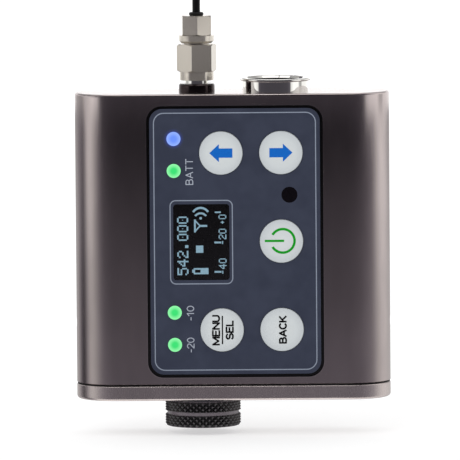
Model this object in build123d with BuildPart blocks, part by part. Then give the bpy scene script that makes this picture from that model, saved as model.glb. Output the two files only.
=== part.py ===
"""Belt-worn wireless transmitter of a lavalier microphone system.

Frame: +Z up (towards the antenna's tip), the control panel faces -Y, +X is to the right of
someone who reads the panel.  The origin is under the middle of the case, level with the
underside of the knob.  Millimetres.
"""

import os
from math import cos, radians, tan

from build123d import *

# ---------------------------------------------------------------- driving sizes: case
bay_width = 30.0  # electronics bay between the cells
cell_diameter = 14.5  # AA cells fill the two rounded ends of the case
cell_length = 50.5
cell_clearance = 0.2
case_wall = 0.7
contact_space = 6.1  # above the cells, for their contacts
roof_thickness = 1.6  # above the contact space
bay_wall = 0.85  # between a cell and the electronics bay
bay_roof = 2.2
bay_floor = 4.6
bay_skin = 1.0  # between the panel recess and the bay
back_wall = 1.2
top_edge_radius = 0.5
bottom_edge_chamfer = 0.2
clip_hole_radius = 1.1
clip_hole_depth = 0.45
clip_hole_drop = 17.0  # below the middle of the case

# door and knob
door_thickness = 3.0
door_edge_radius = 0.7
door_gap = 0.2
knob_offset = -6.22
knob_diameter = 15.2
knob_height = 5.25
knob_groove_width = 0.7
knob_groove_depth = 0.45
knob_chamfer = 0.4
knob_groove_rise = 0.1  # above the middle of the knob
knob_dish_radius = 4.5
knob_dish_depth = 0.4
washer_thickness = 0.3
washer_clearance = 0.05
washer_inset = 1.5  # inside the knob's edge
stud_radius = 2.0
stud_reach = 1.0  # past the threaded insert
stud_pitch = 0.7
stud_foot = 0.9
stud_lead = 0.5
knob_turns = 2
insert_wall = 1.0
insert_length = 4.2
running_clearance = 0.08
clip_thickness = 0.4
clip_radius = 3.4
clip_groove_depth = 0.4
clip_clearance = 0.15  # under the top of the door
clip_pocket_clearance = 0.3
clip_slot_inset = 0.3  # makes the clip's slot grip the stud

# seal, tray and bridge in the door
seal_width = 0.45
seal_inset = 0.12
seal_clearance = 0.05
tray_reach = 6.2  # past the middles of the cells
tray_depth = 12.4
tray_thickness = 0.9
bridge_width = 6.0
bridge_thickness = 0.25
bridge_sink = 0.35
bridge_margin = 0.1  # round the bridge's pads
bridge_channel_margin = 2.0
bridge_ring_inner = 0.2  # outside the clip's pocket
bridge_ring_outer = 1.4
bridge_pad_radius = 3.4
bridge_button_radius = 2.9

# cells and their contacts
cell_edge_radius = 0.4
nub_radius = 2.75
nub_height = 1.0
holder_height = 3.8
touch_gap = 0.02  # between a cell and its contact
leaf_thickness = 0.25
leaf_width = 5.0
leaf_reach = 4.5  # either side of the cell's middle
leaf_bends = (-1.8, -0.6, 0.8)  # from the cell's middle
spring_wire = 0.25  # radius
spring_radius = 3.6
spring_turns = 2

# control panel
panel_offset = 0.47
panel_drop = 0.4
recess_width = 35.2
recess_height = 54.4
recess_corner = 3.1
recess_depth = 0.9
overlay_margin = 0.6
overlay_corner = 2.6
overlay_thickness = 0.5
carrier_ledge = 2.7  # recess floor left round the carrier
carrier_thickness = 1.6
carrier_margin = 0.1
lens_clearance = 0.05  # lamps, infrared window and glass in the carrier
key_radius = 4.4
key_height = 0.3  # above the overlay
key_travel = 0.3
key_flange = 0.35
key_flange_thickness = 0.4
key_stem_radius = 1.5
key_edge_radius = 0.15
key_column_left = -2.75
key_column_right = 9.22
key_row_pitch = 17.72
dome_height = 0.6
dome_radius = 2.0
dome_gap = 0.05  # left under a pressed key
light_radius = 1.4
light_column = -12.18
light_rows = {"link": 20.6, "battery": 14.2, "low": -14.2, "high": -20.65}
light_dome = 0.25
infrared_radius = 1.6
infrared_x = 10.87
infrared_z = 9.27
window_width = 11.2
window_height = 15.2
window_corner = 0.6
window_x = -6.76
window_z = -0.1
display_margin = 0.6
display_glass_thickness = 1.0
display_gap = 0.1  # behind the overlay's plane

# boards, measured from the back of the carrier
board_standoff = 1.45
board_thickness = 1.0
board_spacing = 4.6
board_margin = 0.4
board_base_gap = 1.6  # above the bay's floor
board_top_gap = 7.4  # below the bay's roof, clear of the microphone connector
board_screw_radius = 0.8
board_screw_head_radius = 1.4
board_screw_head_height = 0.9
board_screw_bite = 0.95
spacer_radius = 1.5
spacer_clearance = 0.05
board_screw_head_round = 0.3
screw_points = [(-13.1, 10.5), (-13.1, -10.7), (3.7, 9.1), (3.7, -9.3)]
lamp_chip_size = (1.6, 0.8)
lamp_chip_height = 0.6
infrared_sensor_size = (3.0, 2.6)
infrared_sensor_height = 1.2
can_width = 11.0
can_height = 14.0
can_depth = 3.0
can_edge_radius = 0.4
can_columns = (-4.8, 6.7)
chip_points = {(-4.5, 16.0): (6.0, 6.0), (8.0, 14.0): (5.0, 4.0), (-4.0, -16.0): (7.0, 5.0)}
chip_depth = 1.2
choke_size = 6.0
choke_corner = 1.2
choke_depth = 2.6
choke_point = (8.5, -16.0)
link_size = (12.0, 2.4)
link_point = (-4.5, 2.0)

# microphone connector
jack_x = 8.7
jack_barrel_radius = 6.55
jack_rim_radius = 7.05
jack_rim_thickness = 0.6
jack_height = 2.75
jack_thread_radius = 5.3
jack_bore_radius = 4.75
jack_mouth_radius = 5.65
jack_mouth_length = 2.6  # with its lead-in
jack_lead = 0.5  # 45 degree lead-in at the rim
jack_rim_round = 0.25
radius_match = 0.01  # how near a radius counts as the same
jack_lip_round = 0.3  # between the rim's face and the lead-in
jack_depth = 8.35  # rim to insulator
jack_insulator_thickness = 1.8
jack_pin_radius = 0.5
jack_pin_circle = 2.9
jack_pin_recess = 3.9  # rim to pin tips
jack_pin_round = 0.3
jack_rib_width = 1.3  # rib that keys the cable's plug
jack_rib_depth = 0.7
jack_rib_sink = 0.2  # bore to the rib's middle
jack_rib_drop = 0.3
jack_cup_length = 2.0
jack_cup_radius = 0.7
jack_nut_wall = 0.65
jack_nut_thickness = 1.2

# antenna port
port_x = -7.0
port_ring_radius = 3.6
port_ring_height = 1.65
port_neck_radius = 2.35
port_neck_height = 2.7
port_thread_radius = 2.85
port_height = 7.4
port_thread_pitch = 0.7056
port_thread_depth = 0.3
port_thread_half = 0.35  # half a groove over the pitch
port_thread_start = 0.7
port_thread_end = 0.8
port_chamfer = 0.2
port_ring_chamfer = 0.25
port_flange_radius = 4.0
port_flange_thickness = 1.0
port_tail_length = 3.3
port_tail_radius = 0.45
port_spigot_length = 1.2
port_spigot_inset = 0.8
port_insulator_radius = 2.05
port_contact_radius = 0.65
port_socket_radius = 0.5
port_socket_depth = 4.0
port_insulator_recess = 0.3
port_contact_recess = 0.4

# antenna
nut_gap = 0.69  # between port ring and coupling nut
nut_skirt_radius = 3.4
nut_skirt_height = 1.71
nut_hex_radius = 4.11
nut_hex_height = 5.5
nut_hex_turn = 16.5
nut_shoulder = 1.0
nut_lead = 0.15
plug_gap = 0.2  # between coupling nut and plug ring
plug_face_gap = 0.05  # plug to port
plug_neck_radius = 2.45
plug_ring_radius = 3.5
plug_ring_height = 1.55
plug_ring_chamfer = 0.45
plug_hex_radius = 3.29
plug_hex_height = 3.95
plug_hex_turn = 34
plug_pin_radius = 0.46
plug_pin_reach = 2.6
plug_pin_lead = 0.3
plug_pin_tip_radius = 0.26
snap_ring_thickness = 0.4
snap_ring_radius = 3.0
snap_clearance = 0.05
snap_gap = 0.1  # under the snap ring
bead_radius = 1.45
bead_height = 0.65
bead_round = 0.29
whip_radius = 0.775
whip_inset = 1.0  # whip's end below the tip
antenna_length = 120.4  # foot of the coupling nut to the tip
tip_radius = 1.2
tip_length = 5.0
tip_round = 0.96
hex_bevel_angle = 30

# ---------------------------------------------------------------- levels and planes
cell_bore_radius = cell_diameter / 2 + cell_clearance
case_depth = 2 * (cell_bore_radius + case_wall)
cell_x = bay_width / 2 + bay_wall + cell_bore_radius
case_width = 2 * cell_x + case_depth
case_height = cell_length + contact_space + roof_thickness
knob_drop = knob_height + washer_thickness + washer_clearance
door_top = knob_drop + door_thickness
case_base = door_top + door_gap
case_top = case_base + case_height
case_middle = case_base + case_height / 2
front = -case_depth / 2
recess_floor = front + recess_depth
overlay_front = recess_floor - overlay_thickness
carrier_back = recess_floor + carrier_thickness
board_front = carrier_back + board_standoff
rear_board_front = board_front + board_thickness + board_spacing
panel_z = case_middle - panel_drop
bay_front = recess_floor + bay_skin
bay_back = -front - back_wall
bay_base = case_base + bay_floor
bay_top = case_top - bay_roof
cell_top = case_base + cell_length
knob_lift = stud_pitch * knob_turns
knob_axis = Axis((knob_offset, 0, 0), (0, 0, 1))
jack_axis = Axis((jack_x, 0, 0), (0, 0, 1))
port_axis = Axis((port_x, 0, 0), (0, 0, 1))

key_points = {
    "key_left": (key_column_left, key_row_pitch),
    "key_right": (key_column_right, key_row_pitch),
    "key_power": (key_column_right, 0),
    "key_menu": (key_column_left, -key_row_pitch),
    "key_back": (key_column_right, -key_row_pitch),
}
light_points = [(light_column, row) for row in light_rows.values()]

pieces = {}


def upright(y):
    """Plane at depth y that faces the reader, its origin at the middle of the panel."""
    return Plane(origin=(panel_offset, y, panel_z), x_dir=(1, 0, 0), z_dir=(0, -1, 0))


def turned(axis, outline):
    """Solid of revolution about an upright axis, from (radius, height) corners."""
    centre = axis.position.X
    with BuildPart() as piece:
        with BuildSketch(Plane.XZ):
            with BuildLine():
                Polyline([(centre + radius, height) for radius, height in outline], close=True)
            make_face()
        revolve(axis=axis)
    return piece


def tube(axis, inner, outer, base, top):
    """Plain sleeve, or a rod when inner is zero."""
    return turned(axis, [(inner, base), (outer, base), (outer, top), (inner, top)])


# ---------------------------------------------------------------- housing
opening_width = recess_width - 2 * carrier_ledge
opening_height = recess_height - 2 * carrier_ledge
cell_bore_depth = cell_length + contact_space
clip_hole_z = case_middle - clip_hole_drop
insert_radius = stud_radius + running_clearance + insert_wall

with BuildPart() as housing:
    with BuildSketch(Plane.XY.offset(case_base)):
        SlotOverall(case_width, case_depth)
    extrude(amount=case_height)
    fillet(housing.edges().group_by(Axis.Z)[-1], top_edge_radius)
    chamfer(housing.edges().group_by(Axis.Z)[0], bottom_edge_chamfer)
    # recess that the overlay lies in, and the opening behind it that holds the carrier
    with BuildSketch(upright(front)):
        RectangleRounded(recess_width, recess_height, recess_corner)
    extrude(amount=-recess_depth, mode=Mode.SUBTRACT)
    with BuildSketch(upright(front)):
        Rectangle(opening_width, opening_height)
    extrude(amount=-(recess_depth + carrier_thickness), mode=Mode.SUBTRACT)
    # electronics bay
    with BuildSketch(Plane.XY.offset(bay_base)):
        with Locations((0, (bay_front + bay_back) / 2)):
            Rectangle(bay_width, bay_back - bay_front)
    extrude(amount=bay_top - bay_base, mode=Mode.SUBTRACT)
    # cell bores
    with BuildSketch(Plane.XY.offset(case_base)):
        with Locations((-cell_x, 0), (cell_x, 0)):
            Circle(cell_bore_radius)
    extrude(amount=cell_bore_depth, mode=Mode.SUBTRACT)
    # holes for the connectors and the knob's threaded insert
    with BuildSketch(Plane.XY.offset(bay_top)):
        with Locations((jack_x, 0)):
            Circle(jack_thread_radius)
        with Locations((port_x, 0)):
            Circle(port_thread_radius)
    extrude(amount=bay_roof, mode=Mode.SUBTRACT)
    with BuildSketch(Plane.XY.offset(case_base)):
        with Locations((knob_offset, 0)):
            Circle(insert_radius)
    extrude(amount=bay_floor, mode=Mode.SUBTRACT)
    # blind holes in both ends for a wire belt clip
    for side in (-1, 1):
        end_plane = Plane(origin=(side * case_width / 2, 0, clip_hole_z), x_dir=(0, 1, 0), z_dir=(side, 0, 0))
        with BuildSketch(end_plane):
            Circle(clip_hole_radius)
        extrude(amount=-clip_hole_depth, mode=Mode.SUBTRACT)
pieces["housing"] = housing

# ---------------------------------------------------------------- battery door
tray_width = 2 * (cell_x + tray_reach)
clip_pocket_radius = clip_radius + clip_pocket_clearance
clip_pocket_depth = clip_thickness + knob_lift + clip_clearance + seal_clearance
stud_hole_radius = stud_radius + running_clearance

with BuildPart() as battery_door:
    with BuildSketch(Plane.XY.offset(knob_drop)):
        SlotOverall(case_width, case_depth)
    extrude(amount=door_thickness)
    fillet(battery_door.edges().group_by(Axis.Z)[0], door_edge_radius)
    chamfer(battery_door.edges().group_by(Axis.Z)[-1], bottom_edge_chamfer)
    with BuildSketch(Plane.XY.offset(door_top)):
        SlotOverall(tray_width, tray_depth)
    extrude(amount=-tray_thickness, mode=Mode.SUBTRACT)
    with BuildSketch(Plane.XY.offset(door_top)):
        with Locations((knob_offset, 0)):
            Circle(clip_pocket_radius)
    extrude(amount=-clip_pocket_depth, mode=Mode.SUBTRACT)
    with BuildSketch(Plane.XY.offset(door_top)):
        with Locations((knob_offset, 0)):
            Circle(stud_hole_radius)
    extrude(amount=-door_thickness, mode=Mode.SUBTRACT)
pieces["battery_door"] = battery_door

with BuildPart() as door_seal:
    with BuildSketch(Plane.XY.offset(door_top)):
        SlotOverall(case_width - 2 * seal_inset, case_depth - 2 * seal_inset)
        inner_inset = seal_inset + seal_width
        SlotOverall(case_width - 2 * inner_inset, case_depth - 2 * inner_inset, mode=Mode.SUBTRACT)
    extrude(amount=door_gap - seal_clearance)
pieces["door_seal"] = door_seal

bridge_base = door_top - bridge_sink
with BuildPart() as contact_tray:
    with BuildSketch(Plane.XY.offset(door_top - tray_thickness)):
        SlotOverall(tray_width, tray_depth)
        with Locations((knob_offset, 0)):
            Circle(clip_pocket_radius, mode=Mode.SUBTRACT)
    extrude(amount=tray_thickness)
    with BuildSketch(Plane.XY.offset(bridge_base)):
        SlotOverall(
            2 * (cell_x + bridge_pad_radius + bridge_margin), 2 * (bridge_pad_radius + bridge_channel_margin))
    extrude(amount=bridge_sink, mode=Mode.SUBTRACT)
pieces["contact_tray"] = contact_tray

with BuildPart() as contact_bridge:
    with BuildSketch(Plane.XY.offset(bridge_base)):
        SlotOverall(2 * cell_x + bridge_width, bridge_width)
        with Locations((knob_offset, 0)):
            Circle(clip_pocket_radius + bridge_ring_outer)
            Circle(clip_pocket_radius + bridge_ring_inner, mode=Mode.SUBTRACT)
    extrude(amount=bridge_thickness)
    with BuildSketch(Plane.XY.offset(bridge_base + bridge_thickness)):
        with Locations((-cell_x, 0), (cell_x, 0)):
            Circle(bridge_button_radius)
    extrude(amount=case_base - seal_clearance - bridge_base - bridge_thickness)
pieces["contact_bridge"] = contact_bridge

# ---------------------------------------------------------------- knob and its stud
knob_radius = knob_diameter / 2
groove_base = (knob_height - knob_groove_width) / 2 + knob_groove_rise
groove_top = groove_base + knob_groove_width
groove_radius = knob_radius - knob_groove_depth
stud_top = bay_base + stud_reach
clip_base = door_top - clip_thickness - clip_clearance
clip_groove_radius = stud_radius - clip_groove_depth

pieces["knob"] = turned(knob_axis, [
    (0, knob_dish_depth), (knob_dish_radius - knob_dish_depth, knob_dish_depth), (knob_dish_radius, 0),
    (knob_radius - knob_chamfer, 0), (knob_radius, knob_chamfer),
    (knob_radius, groove_base), (groove_radius, groove_base),
    (groove_radius, groove_top), (knob_radius, groove_top),
    (knob_radius, knob_height - knob_chamfer), (knob_radius - knob_chamfer, knob_height),
    (stud_radius, knob_height), (stud_radius, stud_foot), (0, stud_foot),
])
pieces["knob_stud"] = turned(knob_axis, [
    (0, stud_foot), (stud_radius, stud_foot),
    (stud_radius, clip_base), (clip_groove_radius, clip_base),
    (clip_groove_radius, clip_base + clip_thickness), (stud_radius, clip_base + clip_thickness),
    (stud_radius, stud_top - stud_lead), (stud_radius - stud_lead, stud_top), (0, stud_top),
])
pieces["thrust_washer"] = tube(
    knob_axis, stud_hole_radius, knob_radius - washer_inset, knob_height, knob_height + washer_thickness)

with BuildPart() as stud_clip:
    with BuildSketch(Plane.XY.offset(clip_base)):
        with Locations((knob_offset, 0)):
            Circle(clip_radius)
            Circle(clip_groove_radius, mode=Mode.SUBTRACT)
        with Locations((knob_offset, -clip_radius)):
            Rectangle(2 * (clip_groove_radius - clip_slot_inset), 2 * clip_radius, mode=Mode.SUBTRACT)
    extrude(amount=clip_thickness)
pieces["stud_clip"] = stud_clip

pieces["threaded_insert"] = tube(
    knob_axis, stud_hole_radius, insert_radius, bay_base - insert_length, bay_base)

# ---------------------------------------------------------------- cells and their contacts
holder_base = case_base + cell_bore_depth - holder_height


def cell(centre, nub_up):
    """AA cell, its positive nub at the top or at the foot."""
    foot = case_base if nub_up else case_base + nub_height
    with BuildPart() as piece:
        with BuildSketch(Plane.XY.offset(foot)):
            with Locations((centre, 0)):
                Circle(cell_diameter / 2)
        extrude(amount=cell_length - nub_height)
        fillet(piece.edges().filter_by(GeomType.CIRCLE), cell_edge_radius)
        with BuildSketch(Plane.XY.offset(foot + cell_length - nub_height if nub_up else case_base)):
            with Locations((centre, 0)):
                Circle(nub_radius)
        extrude(amount=nub_height)
    return piece


pieces["left_cell"] = cell(-cell_x, True)
pieces["right_cell"] = cell(cell_x, False)

with BuildPart() as contact_holders:
    with BuildSketch(Plane.XY.offset(holder_base)):
        with Locations((-cell_x, 0), (cell_x, 0)):
            Circle(cell_bore_radius)
    extrude(amount=holder_height)
pieces["contact_holders"] = contact_holders

leaf_rise = holder_base - cell_top
leaf_foot = cell_top + leaf_thickness / 2 + touch_gap
with BuildPart() as leaf_contact:
    with BuildSketch(Plane.XZ):
        with BuildLine():
            Polyline(
                (-cell_x - leaf_reach, holder_base - leaf_thickness / 2),
                (-cell_x + leaf_bends[0], holder_base - leaf_thickness / 2),
                (-cell_x + leaf_bends[1], leaf_foot), (-cell_x + leaf_bends[2], leaf_foot),
                (-cell_x + leaf_reach, cell_top + leaf_rise / 2),
            )
        trace(line_width=leaf_thickness)
    extrude(amount=leaf_width / 2, both=True)
pieces["leaf_contact"] = leaf_contact

spring_height = leaf_rise - 2 * spring_wire - 2 * touch_gap
with BuildPart() as spring_contact:
    with BuildLine():
        coil = Helix(spring_height / spring_turns, spring_height, spring_radius,
                     center=(cell_x, 0, cell_top + spring_wire + touch_gap))
    with BuildSketch(Plane(origin=coil @ 0, z_dir=coil % 0)):
        Circle(spring_wire)
    sweep(path=coil)
pieces["spring_contact"] = spring_contact

# ---------------------------------------------------------------- control panel
overlay_width = recess_width - 2 * overlay_margin
overlay_height = recess_height - 2 * overlay_margin
carrier_width = opening_width - 2 * carrier_margin
carrier_height = opening_height - 2 * carrier_margin
cap_radius = key_radius - running_clearance
flange_radius = key_radius + key_flange
flange_front = recess_floor + dome_gap
flange_back = flange_front + key_flange_thickness
stem_end = board_front - dome_height - key_travel - dome_gap
glass_width = window_width + 2 * display_margin
glass_height = window_height + 2 * display_margin
glass_front = recess_floor + display_gap
window_points = [(window_x, window_z)]
infrared_points = [(infrared_x, infrared_z)]

with BuildPart() as panel_overlay:
    with BuildSketch(upright(recess_floor)):
        RectangleRounded(overlay_width, overlay_height, overlay_corner)
        with Locations(*key_points.values()):
            Circle(key_radius, mode=Mode.SUBTRACT)
        with Locations(*light_points):
            Circle(light_radius, mode=Mode.SUBTRACT)
        with Locations(*infrared_points):
            Circle(infrared_radius, mode=Mode.SUBTRACT)
        with Locations(*window_points):
            RectangleRounded(window_width, window_height, window_corner, mode=Mode.SUBTRACT)
    extrude(amount=overlay_thickness)
pieces["panel_overlay"] = panel_overlay

with BuildPart() as panel_carrier:
    with BuildSketch(upright(recess_floor)):
        Rectangle(carrier_width, carrier_height)
        with Locations(*key_points.values()):
            Circle(key_stem_radius + running_clearance, mode=Mode.SUBTRACT)
        with Locations(*light_points):
            Circle(light_radius + lens_clearance, mode=Mode.SUBTRACT)
        with Locations(*infrared_points):
            Circle(infrared_radius + lens_clearance, mode=Mode.SUBTRACT)
        with Locations(*window_points):
            Rectangle(glass_width + 2 * lens_clearance, glass_height + 2 * lens_clearance, mode=Mode.SUBTRACT)
    extrude(amount=-carrier_thickness)
    # pockets that the keys' flanges travel in
    with BuildSketch(upright(recess_floor)):
        with Locations(*key_points.values()):
            Circle(flange_radius + running_clearance)
    extrude(amount=-(flange_back - recess_floor + key_travel + dome_gap), mode=Mode.SUBTRACT)
    # bosses that take the board screws
    with BuildSketch(upright(carrier_back)):
        with Locations(*screw_points):
            Circle(spacer_radius)
    extrude(amount=-board_standoff)
    with BuildSketch(upright(board_front)):
        with Locations(*screw_points):
            Circle(board_screw_radius)
    extrude(amount=board_standoff + board_screw_bite, mode=Mode.SUBTRACT)
pieces["panel_carrier"] = panel_carrier

with BuildPart() as display_window:
    with BuildSketch(upright(recess_floor)):
        with Locations(*window_points):
            RectangleRounded(window_width, window_height, window_corner)
    extrude(amount=overlay_thickness)
pieces["display_window"] = display_window

with BuildPart() as display_glass:
    with BuildSketch(upright(glass_front)):
        with Locations(*window_points):
            Rectangle(glass_width, glass_height)
    extrude(amount=-display_glass_thickness)
pieces["display_glass"] = display_glass

with BuildPart() as display_frame:
    with BuildSketch(upright(glass_front + display_glass_thickness)):
        with Locations(*window_points):
            Rectangle(glass_width, glass_height)
    extrude(amount=-(board_front - glass_front - display_glass_thickness))
pieces["display_frame"] = display_frame

for key_name, key_point in key_points.items():
    with BuildPart() as key_cap:
        with BuildSketch(upright(flange_front)):
            with Locations(key_point):
                Circle(cap_radius)
        extrude(amount=flange_front - overlay_front + key_height)
        fillet(key_cap.edges().group_by(Axis.Y)[0], key_edge_radius)
        with BuildSketch(upright(flange_front)):
            with Locations(key_point):
                Circle(flange_radius)
        extrude(amount=-key_flange_thickness)
        with BuildSketch(upright(flange_back)):
            with Locations(key_point):
                Circle(key_stem_radius)
        extrude(amount=-(stem_end - flange_back))
    pieces[key_name] = key_cap

with BuildPart() as dome_switches:
    with BuildSketch(upright(board_front)):
        with Locations(*key_points.values()):
            Circle(dome_radius)
    extrude(amount=dome_height)
    fillet(dome_switches.edges().group_by(Axis.Y)[0], dome_height / 2)
pieces["dome_switches"] = dome_switches


def light_pipes(points):
    """Lamp windows, domed in front, that reach back through the carrier."""
    with BuildPart() as piece:
        with BuildSketch(upright(carrier_back)):
            with Locations(*points):
                Circle(light_radius)
        extrude(amount=carrier_back - overlay_front + light_dome)
        fillet(piece.edges().group_by(Axis.Y)[0], light_dome)
    return piece


pieces["lamp_lens_blue"] = light_pipes(light_points[:1])
pieces["lamp_lenses_green"] = light_pipes(light_points[1:])

with BuildPart() as lamp_chips:
    with BuildSketch(upright(board_front)):
        with Locations(*light_points):
            Rectangle(*lamp_chip_size)
    extrude(amount=lamp_chip_height)
pieces["lamp_chips"] = lamp_chips

with BuildPart() as infrared_window:
    with BuildSketch(upright(carrier_back)):
        with Locations(*infrared_points):
            Circle(infrared_radius)
    extrude(amount=carrier_back - overlay_front)
pieces["infrared_window"] = infrared_window

with BuildPart() as infrared_sensor:
    with BuildSketch(upright(board_front)):
        with Locations(*infrared_points):
            Rectangle(*infrared_sensor_size)
    extrude(amount=infrared_sensor_height)
pieces["infrared_sensor"] = infrared_sensor

# ---------------------------------------------------------------- circuit boards
board_width = carrier_width - 2 * board_margin
board_base = bay_base + board_base_gap
board_top = bay_top - board_top_gap
board_height = board_top - board_base
board_centre = (0, board_base + board_height / 2 - panel_z)


def board(face):
    """Circuit board with its screw holes; face is the depth of its front."""
    with BuildPart() as piece:
        with BuildSketch(upright(face)):
            with Locations(board_centre):
                Rectangle(board_width, board_height)
            with Locations(*screw_points):
                Circle(board_screw_radius + spacer_clearance, mode=Mode.SUBTRACT)
        extrude(amount=-board_thickness)
    return piece


pieces["control_board"] = board(board_front)
pieces["radio_board"] = board(rear_board_front)

with BuildPart() as board_spacers:
    with BuildSketch(upright(board_front + board_thickness)):
        with Locations(*screw_points):
            Circle(spacer_radius)
            Circle(board_screw_radius + spacer_clearance, mode=Mode.SUBTRACT)
    extrude(amount=-board_spacing)
pieces["board_spacers"] = board_spacers

screw_head_face = rear_board_front + board_thickness
with BuildPart() as board_screws:
    with BuildSketch(upright(screw_head_face)):
        with Locations(*screw_points):
            Circle(board_screw_radius)
    extrude(amount=screw_head_face - carrier_back + board_screw_bite)
    with BuildSketch(upright(screw_head_face)):
        with Locations(*screw_points):
            Circle(board_screw_head_radius)
    extrude(amount=-board_screw_head_height)
    fillet(board_screws.edges().group_by(Axis.Y)[-1], board_screw_head_round)
pieces["board_screws"] = board_screws

with BuildPart() as shield_cans:
    with BuildSketch(upright(screw_head_face)):
        with Locations(*[(column, 0) for column in can_columns]):
            Rectangle(can_width, can_height)
    extrude(amount=-can_depth)
    fillet(shield_cans.edges().group_by(Axis.Y)[-1], can_edge_radius)
pieces["shield_cans"] = shield_cans

with BuildPart() as board_chips:
    for point, footprint in chip_points.items():
        with BuildSketch(upright(rear_board_front)):
            with Locations(point):
                Rectangle(*footprint)
        extrude(amount=chip_depth)
pieces["board_chips"] = board_chips

with BuildPart() as power_choke:
    with BuildSketch(upright(rear_board_front)):
        with Locations(choke_point):
            RectangleRounded(choke_size, choke_size, choke_corner)
    extrude(amount=choke_depth)
pieces["power_choke"] = power_choke

with BuildPart() as board_link:
    with BuildSketch(upright(rear_board_front)):
        with Locations(link_point):
            Rectangle(*link_size)
    extrude(amount=board_spacing)
pieces["board_link"] = board_link

# ---------------------------------------------------------------- microphone connector
jack_rim = case_top + jack_height
jack_seat = jack_rim - jack_depth
jack_foot = jack_seat - jack_insulator_thickness
rim_base = jack_rim - jack_rim_thickness
lip_radius = jack_mouth_radius + jack_lead

with BuildPart() as mic_jack_shell:
    add(turned(jack_axis, [
        (jack_bore_radius, jack_foot), (jack_thread_radius, jack_foot),
        (jack_thread_radius, case_top), (jack_barrel_radius, case_top),
        (jack_barrel_radius, rim_base), (jack_rim_radius, rim_base),
        (jack_rim_radius, jack_rim), (lip_radius, jack_rim),
        (jack_mouth_radius, jack_rim - jack_lead),
        (jack_mouth_radius, jack_rim - jack_mouth_length), (jack_bore_radius, jack_rim - jack_mouth_length),
    ]).part)
    fillet(mic_jack_shell.edges().filter_by(GeomType.CIRCLE).group_by(SortBy.RADIUS)[-1], jack_rim_round)
    lip_edges = mic_jack_shell.edges().filter_by(GeomType.CIRCLE)
    fillet(lip_edges.filter_by(lambda edge: abs(edge.radius - lip_radius) < radius_match), jack_lip_round)
    with BuildSketch(Plane.XY.offset(jack_seat)):
        with Locations((jack_x, jack_bore_radius - jack_rib_sink)):
            Rectangle(jack_rib_width, jack_rib_depth)
    extrude(amount=jack_depth - jack_mouth_length - jack_rib_drop)
pieces["mic_jack_shell"] = mic_jack_shell

pin_fan = {"radius": jack_pin_circle, "count": 5, "start_angle": 150, "angular_range": 240, "endpoint": True}
with BuildPart() as mic_jack_insulator:
    with BuildSketch(Plane.XY.offset(jack_foot)):
        with Locations((jack_x, 0)):
            Circle(jack_bore_radius)
            with PolarLocations(**pin_fan):
                Circle(jack_pin_radius, mode=Mode.SUBTRACT)
    extrude(amount=jack_insulator_thickness)
pieces["mic_jack_insulator"] = mic_jack_insulator

with BuildPart() as mic_jack_pins:
    with BuildSketch(Plane.XY.offset(jack_foot)):
        with Locations((jack_x, 0)):
            with PolarLocations(**pin_fan):
                Circle(jack_pin_radius)
    extrude(amount=jack_rim - jack_pin_recess - jack_foot)
    fillet(mic_jack_pins.edges().group_by(Axis.Z)[-1], jack_pin_round)
    with BuildSketch(Plane.XY.offset(jack_foot)):
        with Locations((jack_x, 0)):
            with PolarLocations(**pin_fan):
                Circle(jack_cup_radius)
    extrude(amount=-jack_cup_length)
pieces["mic_jack_pins"] = mic_jack_pins

pieces["mic_jack_nut"] = tube(
    jack_axis, jack_thread_radius, jack_thread_radius + jack_nut_wall, bay_top - jack_nut_thickness, bay_top)

# ---------------------------------------------------------------- antenna port
port_neck_top = case_top + port_neck_height
port_top = case_top + port_height
port_flange_base = bay_top - port_flange_thickness
port_foot = port_flange_base - port_spigot_length
port_grooves = int((port_height - port_neck_height - port_thread_end) / port_thread_pitch)
groove_half = port_thread_pitch * port_thread_half

with BuildPart() as port_body:
    add(turned(port_axis, [
        (port_insulator_radius, port_foot), (port_flange_radius - port_spigot_inset, port_foot),
        (port_flange_radius - port_spigot_inset, port_flange_base), (port_flange_radius, port_flange_base),
        (port_flange_radius, bay_top), (port_thread_radius, bay_top),
        (port_thread_radius, case_top), (port_neck_radius, case_top),
        (port_neck_radius, port_neck_top), (port_thread_radius - port_chamfer, port_neck_top),
        (port_thread_radius, port_neck_top + port_chamfer), (port_thread_radius, port_top - port_chamfer),
        (port_thread_radius - port_chamfer, port_top), (port_insulator_radius, port_top),
    ]).part)
    for step in range(port_grooves):
        groove_z = port_neck_top + port_thread_start + step * port_thread_pitch
        with BuildSketch(Plane.XZ):
            with BuildLine():
                Polyline(
                    (port_x + port_thread_radius, groove_z - groove_half),
                    (port_x + port_thread_radius - port_thread_depth, groove_z),
                    (port_x + port_thread_radius, groove_z + groove_half),
                    close=True,
                )
            make_face()
        revolve(axis=port_axis, mode=Mode.SUBTRACT)
pieces["port_body"] = port_body

pieces["port_ring"] = turned(port_axis, [
    (port_neck_radius, case_top), (port_ring_radius, case_top),
    (port_ring_radius, case_top + port_ring_height - port_ring_chamfer),
    (port_ring_radius - port_ring_chamfer, case_top + port_ring_height),
    (port_neck_radius, case_top + port_ring_height),
])
pieces["port_insulator"] = tube(
    port_axis, port_contact_radius, port_insulator_radius, port_foot, port_top - port_insulator_recess)
pieces["port_contact"] = turned(port_axis, [
    (0, port_foot - port_tail_length), (port_tail_radius, port_foot - port_tail_length),
    (port_tail_radius, port_foot), (port_contact_radius, port_foot),
    (port_contact_radius, port_top - port_contact_recess),
    (port_socket_radius, port_top - port_contact_recess),
    (port_socket_radius, port_top - port_socket_depth), (0, port_top - port_socket_depth),
])

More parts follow.
